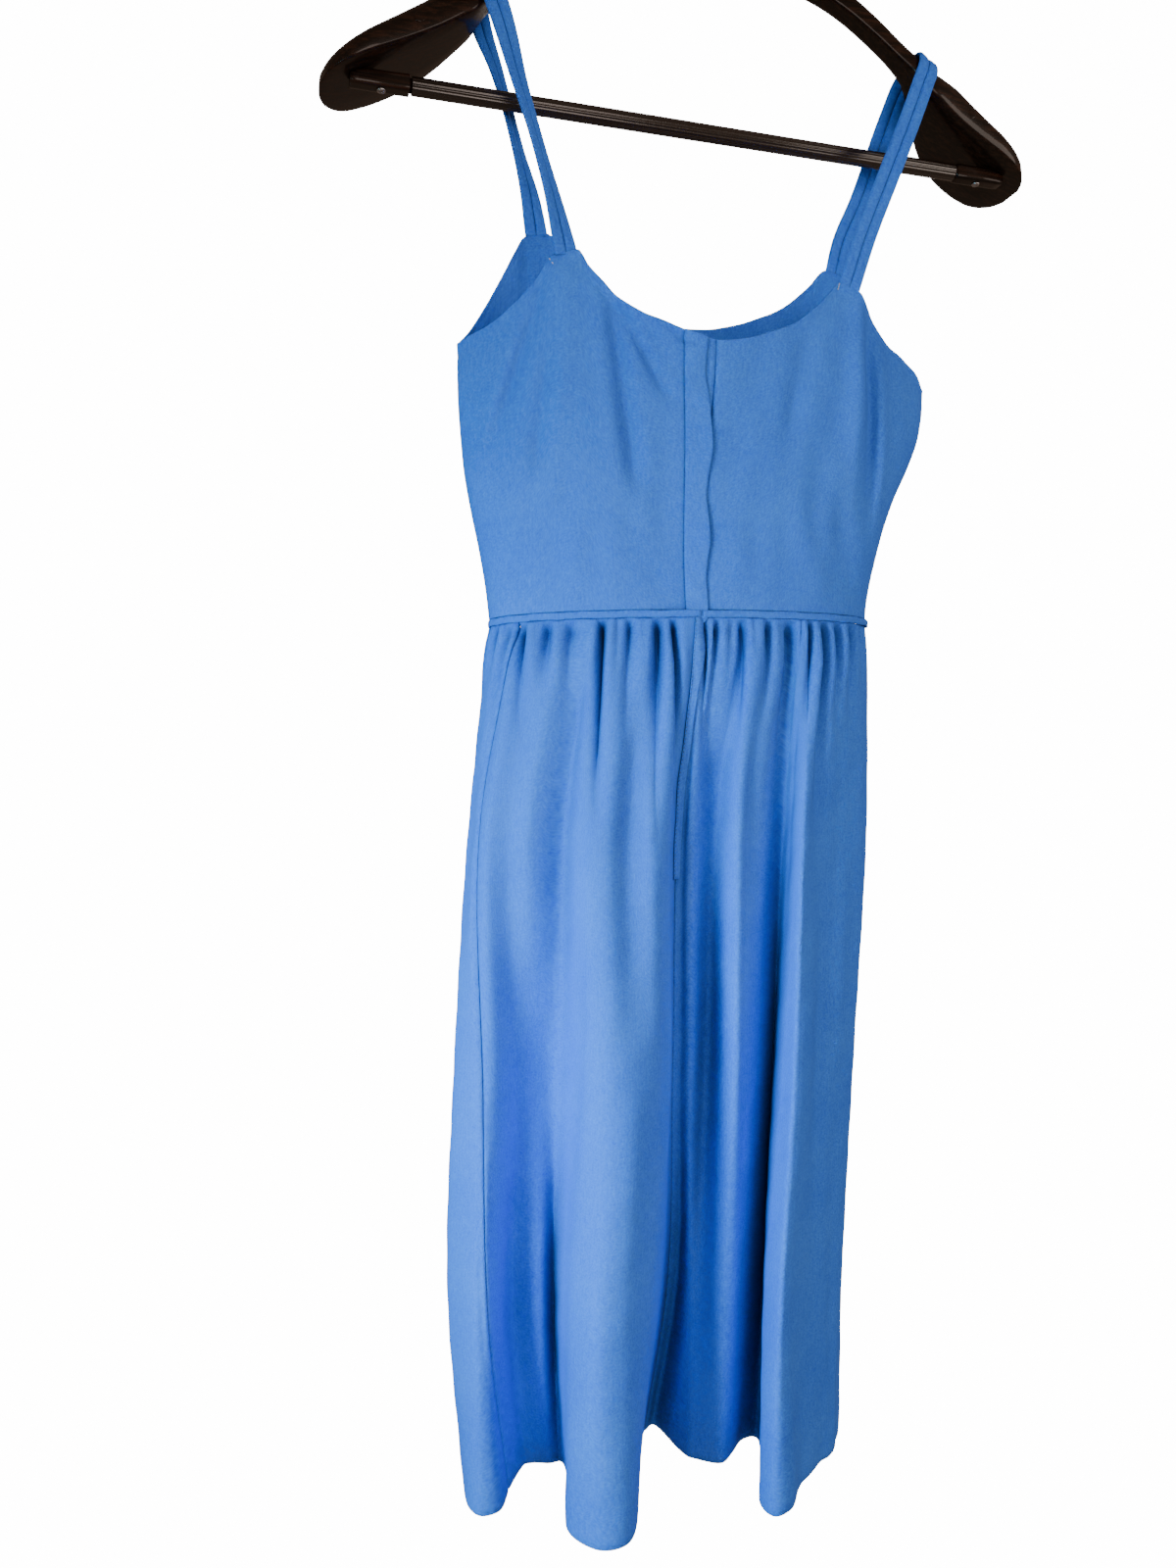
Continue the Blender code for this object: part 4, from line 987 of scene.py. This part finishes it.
def bodice_panel(name, grid, side, crepe):
    """One panel of the bodice as a shell, clear of the other side at the side seams."""
    normals = surface_normals(grid, False)
    for column in (0, -1):
        x = grid[0, column, 0]
        # side seams lie far out, and their cloth faces sideways
        if abs(x) > 100:
            normals[:, column] = (math.copysign(1.0, x), 0.0, 0.0)
    from_top = path_lengths(grid)
    half = CLOTH_HALF * (1 + 0.5 * np.exp(-((from_top - 0.8) / 1.2) ** 2))
    # the edge is turned under 7 mm wide, which shows as a faint ridge and a dip below it
    lift = 0.16 * np.exp(-(from_top / 5.0) ** 4) - 0.22 * np.exp(-((from_top - 8.0) / 1.6) ** 2)
    grid = grid + normals * lift[..., None]
    grid[:, :, 1] = side * np.maximum(side * grid[:, :, 1], 0.62)
    return cloth_shell(name, grid, normals, half, crepe)


def lap_shares():
    """Shares across the near side of the lap's two edges and the seam under it."""
    left, right = (waist_share(x) * 2 for x in (LAP_LEFT, LAP_LEFT + LAP_WIDTH))
    return left, right, (left + right) / 2 + 0.006


def lap_left(z):
    """x of the lap's stitched edge, which wanders a little."""
    return LAP_LEFT + 0.5 * math.sin(z / 23.0)


def lap_base(rows):
    """The near bodice under the lap and a little beyond it on both sides."""
    left, right, _ = lap_shares()
    return bodice_surface(True, np.linspace(left - 0.03, right + 0.06, 60), rows)


def build_bodice(crepe):
    """Two back panels that meet under the lap, and the front panel."""
    rows = bodice_rows()
    seam = lap_shares()[2]
    evenly = {name: np.linspace(0, 1, count + 1) for name, count in BODICE_COLUMNS.items()}
    left, right, front = (evenly["bodice_" + name] for name in ("back_left", "back_right", "front"))
    near = bodice_surface(
        True, np.concatenate([left * seam, (seam + right * (1 - seam))[1:]]), rows)
    cut = len(left) - 1
    panels = {"bodice_back_left": near[:, :cut + 1].copy(), "bodice_back_right": near[:, cut:].copy()}
    # half the slit at the centre back
    for panel, edge, inside in zip(panels.values(), (-1, 0), (-2, 1)):
        panel[:, edge] += unit(panel[:, inside] - panel[:, edge]) * 0.4
    made = {name: bodice_panel(name, panel, -1.0, crepe) for name, panel in panels.items()}
    made["bodice_front"] = bodice_panel(
        "bodice_front", bodice_surface(False, front, rows), 1.0, crepe)
    return made


def build_bodice_lap(crepe):
    """Folded strip over the zip: flat along its stitched left edge, wavy along its right fold."""
    edge = LAP_EDGE[::-1]
    # the strip runs on over the piping, straight down
    rows = np.concatenate([bodice_rows(), [1.012, 1.024, 1.036]])
    base = lap_base(np.clip(rows, 0, 1))
    base[:, :, 2] -= (np.maximum(rows - 1, 0) * 160)[:, None]
    normals = surface_normals(base, False)
    normals[-4:] = normals[-5]
    share = np.linspace(0, 1, 19)
    middle = []
    for row, facing in zip(base, normals):
        z = row[:, 2].mean()
        right = smooth_curve(edge[:, 0], edge[:, 1:], [np.clip(z, edge[0, 0], edge[-1, 0])])[0, 0]
        x = lap_left(z) + (right - lap_left(z)) * share
        puff = 0.5 + 0.5 * math.sin(z / 11.0 + 0.9 * math.sin(z / 23.0))
        pulls = 0.32 * np.sin((z + 9.0 * share) / 2.6 + math.sin(z / 17.0)) * np.sin(math.pi * share)
        lift = 1.25 + 0.9 * np.sin(math.pi * share) ** 0.8 + (0.3 + 1.3 * puff) * share ** 3 + pulls
        middle.append(read_off(x, row[:, 0], row) + read_off(x, row[:, 0], facing) * lift[:, None])
    middle = np.array(middle)
    return cloth_shell("zip_lap_bodice", middle, surface_normals(middle, False), 0.45, crepe)


def build_piping(crepe):
    """Narrow corded band between bodice and skirt."""
    start = lap_shares()[2] / 2
    stations, sides = 420, 14
    rings, places = [], []
    for k in range(stations + 1):
        share = start + 0.0008 + (1 - 0.0016) * k / stations
        x, y = waist_point(share)
        away = unit(np.array([(x - WAIST_MID[0]) / WAIST_HALF[0] ** 2, y / WAIST_HALF[1] ** 2]))
        sway = 0.16 * math.sin(share * 2 * math.pi * 23) + 0.1 * math.sin(share * 2 * math.pi * 57)
        ring = []
        for j, (u, v) in enumerate(circle(sides)):
            px, py = (x, y) + away * (PIPING_HALF[0] * boxy(u, 0.8) + 0.1)
            ring.append((px, py, waist_height(x) + PIPING_HALF[1] * boxy(v, 0.75) + sway))
            places.append((share * WAIST_ROUND, 12.0 * j / sides))
        rings.append(ring)
    return tube("waist_piping_cloth", rings, crepe, ["waist_piping"], places)


# Straps

def strap_frames(rows):
    """Length run, centre, across and out directions at stations along a strap path."""
    table = np.array(rows, float)
    lengths = path_lengths(table[:, :3])
    stops = np.linspace(-STRAP_TUCK, lengths[-1] + STRAP_TUCK, TUBE_STATIONS)
    dense = smooth_curve(lengths, table, np.clip(stops, 0.0, lengths[-1]))
    # the tucks run straight on past both ends
    for past, step in ((np.minimum(stops, 0.0), table[1] - table[0]),
                       (np.maximum(stops - lengths[-1], 0.0), table[-1] - table[-2])):
        dense[:, :3] += past[:, None] * unit(step[:3])
    centre, twist = dense[:, :3], np.radians(dense[:, 3])[:, None]
    along = unit(np.gradient(centre, stops, axis=0))
    # across the strap: along the arm where it lies on it, and nearly level where it hangs
    sign = 1.0 if table[0, 0] < 0 else -1.0
    share = np.clip((centre[:, 2] + 200.0) / 70.0, 0.0, 1.0)[:, None]
    share = share * share * (3 - 2 * share)
    hanging, lying = (np.array((x, 0.0, z * sign)) for x, z in STRAP_ACROSS)
    across = hanging * (1 - share) + lying * share
    across = unit(across - along * np.sum(across * along, axis=1)[:, None])
    turned = across * np.cos(twist) + np.cross(along, across) * np.sin(twist)
    return stops, centre, turned, np.cross(along, turned)


def build_straps(crepe):
    """Two turned tubes a side, hollow and pressed flat, with the seam along the inside."""
    # round the tube: across and up as shares of its half sizes, and the dent of the seam
    outline = []
    for k, (u, v) in enumerate(circle(TUBE_SIDES)):
        seam = 0.18 * math.exp(-((2 * math.pi * k / TUBE_SIDES - 4.71) / 0.25) ** 2)
        outline.append((boxy(u, 0.9), boxy(v, 0.8), seam))
    made = {}
    for side, rows in (("left", LEFT_STRAP), ("right", RIGHT_STRAP)):
        frames = list(zip(*strap_frames(rows)))
        for part, shift, phase in (("a", -TUBE_SPACING / 2, 1.3), ("b", TUBE_SPACING / 2, 4.1)):
            rings, places = [], []
            # down the outside, and back up the inside
            for inset, stations in ((0.0, frames), (TUBE_WALL, frames[::-1])):
                for s, point, across, out in stations:
                    puff = 1 + 0.05 * math.sin(s / 7.0 + phase)
                    puff += 0.04 * math.sin(s / 17.0 + 2 * phase)
                    # both ends are pressed flat where they are sewn in
                    to_end = min(s - frames[0][0], frames[-1][0] - s)
                    puff *= 0.34 + 0.66 * min(1.0, to_end / 6.0)
                    rings.append([
                        point + across * ((TUBE_HALF[0] - inset) * a + shift)
                        + out * max(0.03, TUBE_HALF[1] * puff - inset - seam) * b
                        for a, b, seam in outline])
                    places += [(TUBE_CUT * k / TUBE_SIDES, s) for k in range(TUBE_SIDES)]
            node = "strap_" + side + "_" + part
            made[node] = tube(node + "_cloth", rings, crepe, [node], places, closed=True)
    return made


# Sewing

def stitch_tree():
    """Node tree that lays stitches along a polyline: inputs for pitch, length and thickness."""
    tree = bpy.data.node_groups.new("stitches_along_a_line", "GeometryNodeTree")
    sockets = (("Geometry", "INPUT", "Geometry", None), ("Pitch", "INPUT", "Float", 0.0025),
               ("Stitch length", "INPUT", "Float", 0.0018),
               ("Thread thickness", "INPUT", "Float", 0.0003),
               ("Thread", "INPUT", "Material", None), ("Geometry", "OUTPUT", "Geometry", None))
    for label, way, kind, value in sockets:
        socket = tree.interface.new_socket(label, in_out=way, socket_type="NodeSocket" + kind)
        if value:
            socket.default_value = value
    given = add_node(tree, "NodeGroupInput").outputs
    line = add_node(tree, "GeometryNodeMeshToCurve", [("Mesh", given["Geometry"])])
    spaced = add_node(tree, "GeometryNodeResampleCurve",
                      [("Curve", line), ("Length", given["Pitch"])], mode="LENGTH")
    turn = add_node(tree, "FunctionNodeAlignRotationToVector",
                    [("Vector", add_node(tree, "GeometryNodeInputTangent"))], axis="Z")
    half = add_node(tree, "ShaderNodeMath", [(0, given["Stitch length"]), (1, 0.5)],
                    operation="MULTIPLY")
    thick = given["Thread thickness"]
    size = add_node(tree, "ShaderNodeCombineXYZ", [(0, thick), (1, thick), (2, half)])
    bead = add_node(tree, "GeometryNodeMeshUVSphere",
                    [("Segments", 8), ("Rings", 5), ("Radius", 1.0)])
    laid = add_node(tree, "GeometryNodeInstanceOnPoints",
                    [("Points", spaced), ("Instance", bead), ("Rotation", turn), ("Scale", size)])
    real = add_node(tree, "GeometryNodeRealizeInstances", [("Geometry", laid)])
    smooth = add_node(tree, "GeometryNodeSetShadeSmooth", [("Geometry", real)])
    dyed = add_node(tree, "GeometryNodeSetMaterial",
                    [("Geometry", smooth), ("Material", given["Thread"])])
    add_node(tree, "NodeGroupOutput", [("Geometry", dyed)])
    return tree


def sew(name, tree, lines, pitch, length, thickness, thread):
    """One piece of stitches along lines of points in millimetres."""
    points, edges = [], []
    for line in lines:
        first = len(points)
        points += [tuple(float(c) * MM for c in p) for p in line]
        edges += [(first + k, first + k + 1) for k in range(len(line) - 1)]
    mesh = bpy.data.meshes.new(name + "_line")
    mesh.from_pydata(points, edges, [])
    holder = bpy.data.objects.new(name + "_line", mesh)
    bpy.context.scene.collection.objects.link(holder)
    modifier = holder.modifiers.new("stitches", "NODES")
    modifier.node_group = tree
    values = {"Pitch": pitch * MM, "Stitch length": length * MM,
              "Thread thickness": thickness * MM / 2, "Thread": thread}
    for item in tree.interface.items_tree:
        if item.in_out == "INPUT" and item.name in values:
            modifier[item.identifier] = values[item.name]
    bpy.context.view_layer.update()
    evaluated = holder.evaluated_get(bpy.context.evaluated_depsgraph_get())
    laid = bpy.data.meshes.new_from_object(evaluated)
    laid.name = name
    bpy.data.objects.remove(holder)
    made = bpy.data.objects.new(name, laid)
    bpy.context.scene.collection.objects.link(made)
    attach(made, "root")
    return made


def build_sewing(thread, white, strokes):
    """Topstitching on the laps, the turned armhole edge and the thread tacks at the straps."""
    tree = stitch_tree()
    line = np.array([read_off(lap_left(row[:, 2].mean()) + 0.9, row[:, 0], row)
                     for row in lap_base(bodice_rows())[1:]])
    line[:, 1] -= 1.6
    corner = line[1] + np.array([(1.4, 0, -3.0), (4.5, -0.2, -3.2), (8.6, -0.3, -3.4)])
    places = SKIRT_SEAMS["back_seam"] - np.array([2.4, 1.9, 1.4]) / PART_COLUMNS
    strip = skirt_strip(places, np.linspace(0.004, 0.285, 80), strokes)
    lower = strip[:, 1] + surface_normals(strip, False)[:, 1] * 1.62
    return {
        "bodice_lap": sew("bodice_lap_stitches", tree, [line, corner], 2.4, 1.7, 0.34, thread),
        "skirt_lap": sew("skirt_lap_stitches", tree, [lower], 2.4, 1.7, 0.34, thread),
        "armhole": sew("armhole_stitches", tree, inner_edge_lines(), 2.0, 1.3, 0.36, thread),
        "tacks": sew("strap_tacks", tree, STRAP_TACKS, 1.6, 1.5, 0.5, white),
    }


def inner_edge_lines():
    """Lines of the hand-sewn edge inside both far armholes, 2 mm below the top."""
    lines = []
    for start, end in ((0.015, 0.12), (0.88, 0.985)):
        grid = bodice_surface(False, np.linspace(start, end, 60), bodice_rows())
        below = path_lengths(grid)
        inward = -surface_normals(grid, False)[1]
        lines.append([read_off(2.0, below[:, c], grid[:, c]) + inward[c] * 0.75 for c in range(60)])
    return lines


# Hanger

def underside(x):
    """Height of the arm's underside at a distance from the middle."""
    return float(np.interp(x, ARM_SECTIONS[:, 0], ARM_SECTIONS[:, 2]))


def whole_profile(left):
    """A section's outline from its left half: over the top, and back along the flat underside."""
    right = [(-a, b) for a, b in reversed(left)]
    return np.array([*left, (0.0, 1.0), *right, (0.45, 0.0), (0.0, 0.0), (-0.45, 0.0)])


def build_hanger_body(wood):
    """Both arms in one carved piece, flat below and domed above, with a rounded tip."""
    arm, end = whole_profile(ARM_PROFILE), whole_profile(END_PROFILE)
    reach = ARM_SECTIONS[-1, 0] * np.sin(np.linspace(0, math.pi / 2, 74))
    dense = smooth_curve(ARM_SECTIONS[:, 0], ARM_SECTIONS[:, 1:], reach)
    rings = []
    for side in (-1, 1):
        made = []
        for x, (back, low, high, half) in zip(reach, dense):
            wide = np.clip((x - END_FROM) / (END_FULL - END_FROM), 0.0, 1.0)
            profile = arm * (1 - wide) + end * wide
            made.append([(side * x, back + half * a, low + (high - low) * b) for a, b in profile])
        # two smaller sections past the last one round off the tip
        last, centre = np.array(made[-1]), np.array((side * x, back, (low + high) / 2))
        for past, keep in ((0.45, 0.8), (0.65, 0.45)):
            made.append(centre + (last - centre) * keep + (side * past, 0.0, 0.0))
        rings += made[::-1] if side < 0 else made[1:]
    tube("hanger_body_wood", rings, wood, ["hanger_body"])
    build_plug(-1, "left", wood)
    build_plug(1, "right", wood)


def build_plug(side, word, wood):
    """Flat wooden plug in the near face of the arm's wide end."""
    x, z = PLUG_AT
    back, half = (np.interp(x, ARM_SECTIONS[:, 0], ARM_SECTIONS[:, k]) for k in (1, 4))
    rings = [[(side * x + PLUG_RADIUS * size * u, back - half - out, z + PLUG_RADIUS * size * v)
              for u, v in circle(36)] for out, size in PLUG_PROFILE]
    tube("arm_plug_" + word, rings, wood)


def build_hook(chrome):
    """Wire hook with its inside top at the origin, a rounded tip and the collar at its foot."""
    top = ARM_SECTIONS[0, 3] + GAP
    bend = HOOK_RADIUS + HOOK_ROD
    middle = HOOK_ROD - bend
    path = [(0.0, top + d) for d in (0.0, 8.0, 17.0, 25.0)]
    for degrees in range(-44, 216, 13):
        angle = math.radians(degrees)
        path.append((bend * math.cos(angle), middle + bend * math.sin(angle)))
    lengths = path_lengths(path)
    stops = np.linspace(0, lengths[-1], 150)
    dense = smooth_curve(lengths, path, stops)
    rings = []
    for s, (x, z), (dx, dz) in zip(stops, dense, unit(np.gradient(dense, axis=0))):
        # the last bit narrows to a half ball
        short = max(0.0, 1 - (lengths[-1] - s) / HOOK_ROD)
        radius = max(0.35, HOOK_ROD * math.sqrt(max(0.0, 1 - short ** 2)))
        rings.append([(x - dz * radius * u, radius * v, z + dx * radius * u) for u, v in circle(24)])
    tube("hook_wire", rings, chrome, ["hanger_hook"])
    inner, outer = COLLAR_RADII
    low, high = top, top + COLLAR_TALL
    profile = [(low, inner), (low, outer - 0.5), (low + 0.15, outer - 0.15), (low + 0.5, outer),
               (high - 1.6, outer), (high - 0.9, outer - 0.2), (high - 0.3, outer - 0.9),
               (high, outer - 1.7), (high, inner)]
    rings = [[(radius * u, radius * v, z) for u, v in circle(40)] for z, radius in profile]
    tube("hook_collar_plated", rings, chrome, ["hook_collar"], closed=True)


def build_bar(wood, vinyl, steel):
    """Bar with squared ends, its ribbed sleeve and the two screws."""
    outline = circle(32, math.pi / 32)
    slim = [(BAR_RADIUS * u, BAR_RADIUS * v) for u, v in outline]
    block = []
    for u, v in outline:
        reach = (abs(u) ** 7 + abs(v) ** 7) ** (1 / 7)
        block.append((BAR_BLOCK * u / reach, BAR_BLOCK * v / reach))
    rings = []
    for side in (-1, 1):
        made = []
        for x, size, shape in (
                (BAR_TIP, 0.9, block), (BAR_TIP - 0.5, 1.0, block), (209.0, 1.0, block),
                (204.0, 1.0, block), (BAR_BLOCK_FROM + 0.4, 1.0, block),
                (BAR_BLOCK_FROM, 0.95, block), (BAR_BLOCK_FROM - 0.3, 1.0, slim)):
            # the bar stays clear of the arm above it
            lid = underside(x) - GAP - 0.3
            made.append([(side * x, BAR_BACK + y * size, min(BAR_HEIGHT + z * size, lid))
                         for y, z in shape])
        rings += made if side < 0 else made[::-1]
    bar = tube("trouser_bar_wood", rings, wood, ["trouser_bar"])
    bar.data.polygons.foreach_set("use_smooth", [len(p.vertices) == 4 for p in bar.data.polygons])
    inner, outer = GRIP_RADII
    sides, ribs = 96, 16
    half = BAR_BLOCK_FROM - 1.4
    rings = []
    for x, wall in ((-half, 0.85), (-half + 0.3, 1.0), (0.0, 1.0), (half - 0.3, 1.0), (half, 0.85),
                    (half, 0.0), (-half, 0.0)):
        ring = []
        for k, (u, v) in enumerate(circle(sides)):
            rib = 0.32 * (0.5 - 0.5 * math.cos(2 * math.pi * ribs * k / sides)) ** 2
            radius = inner + (outer - inner - rib) * wall
            ring.append((x, BAR_BACK + radius * u, BAR_HEIGHT + radius * v))
        rings.append(ring)
    tube("bar_grip_sleeve", rings, vinyl, ["bar_grip"], closed=True)
    build_screw("left", -SCREW_AT, steel)
    build_screw("right", SCREW_AT, steel)


def build_screw(side, x, steel):
    """Pan head with a cross recess, driven up into the bar's end."""
    top = BAR_HEIGHT - BAR_BLOCK - GAP
    rings = []
    for size, fall in SCREW_PROFILE:
        ring = []
        for u, v in circle(48, 0.4):
            u, v = size * u, size * v
            from_cross = min(abs(u * 0.92 + v * 0.39), abs(v * 0.92 - u * 0.39))
            recess = 0.7 if from_cross < 0.13 and size < 0.6 else 0.0
            ring.append((x + SCREW_RADIUS * u, BAR_BACK + SCREW_RADIUS * v, top - fall + recess))
        rings.append(ring)
    tube("bar_screw_" + side + "_head", rings, steel, ["bar_screw_" + side])


def build_all():
    """Camera first, then the materials, the cloth, the sewing and the hanger."""
    build_camera()
    build_light()
    build_stage(matt_paint("white_backdrop_paper"))
    crepe = polyester_crepe("blue_polyester_crepe", "#4690ff", "#2866e8")
    wood = lacquered_beech("dark_lacquered_beech")
    vinyl = smoked_vinyl("smoked_vinyl_sleeve")
    steel = plated_steel("zinc_plated_steel", "#8f9194", "#c3c4c6", 0.28, 0.45, 0.0012)
    chrome = plated_steel("chrome_plated_wire", "#cfd0d2", "#ececee", 0.06, 0.14, 0.004)
    thread = sewing_thread("blue_polyester_thread", "#4a7cc4", "#2c558f")
    white = sewing_thread("white_cotton_thread", "#f2f2ee", "#cfcfc8")
    bodice = build_bodice(crepe)
    skirt, strokes = build_skirt(crepe)
    laps = {"bodice": build_bodice_lap(crepe), "skirt": build_skirt_lap(crepe, strokes)}
    piping = build_piping(crepe)
    straps = build_straps(crepe)
    sewing = build_sewing(thread, white, strokes)
    build_hanger_body(wood)
    build_hook(chrome)
    build_bar(wood, vinyl, steel)


build_all()
bpy.context.view_layer.update()
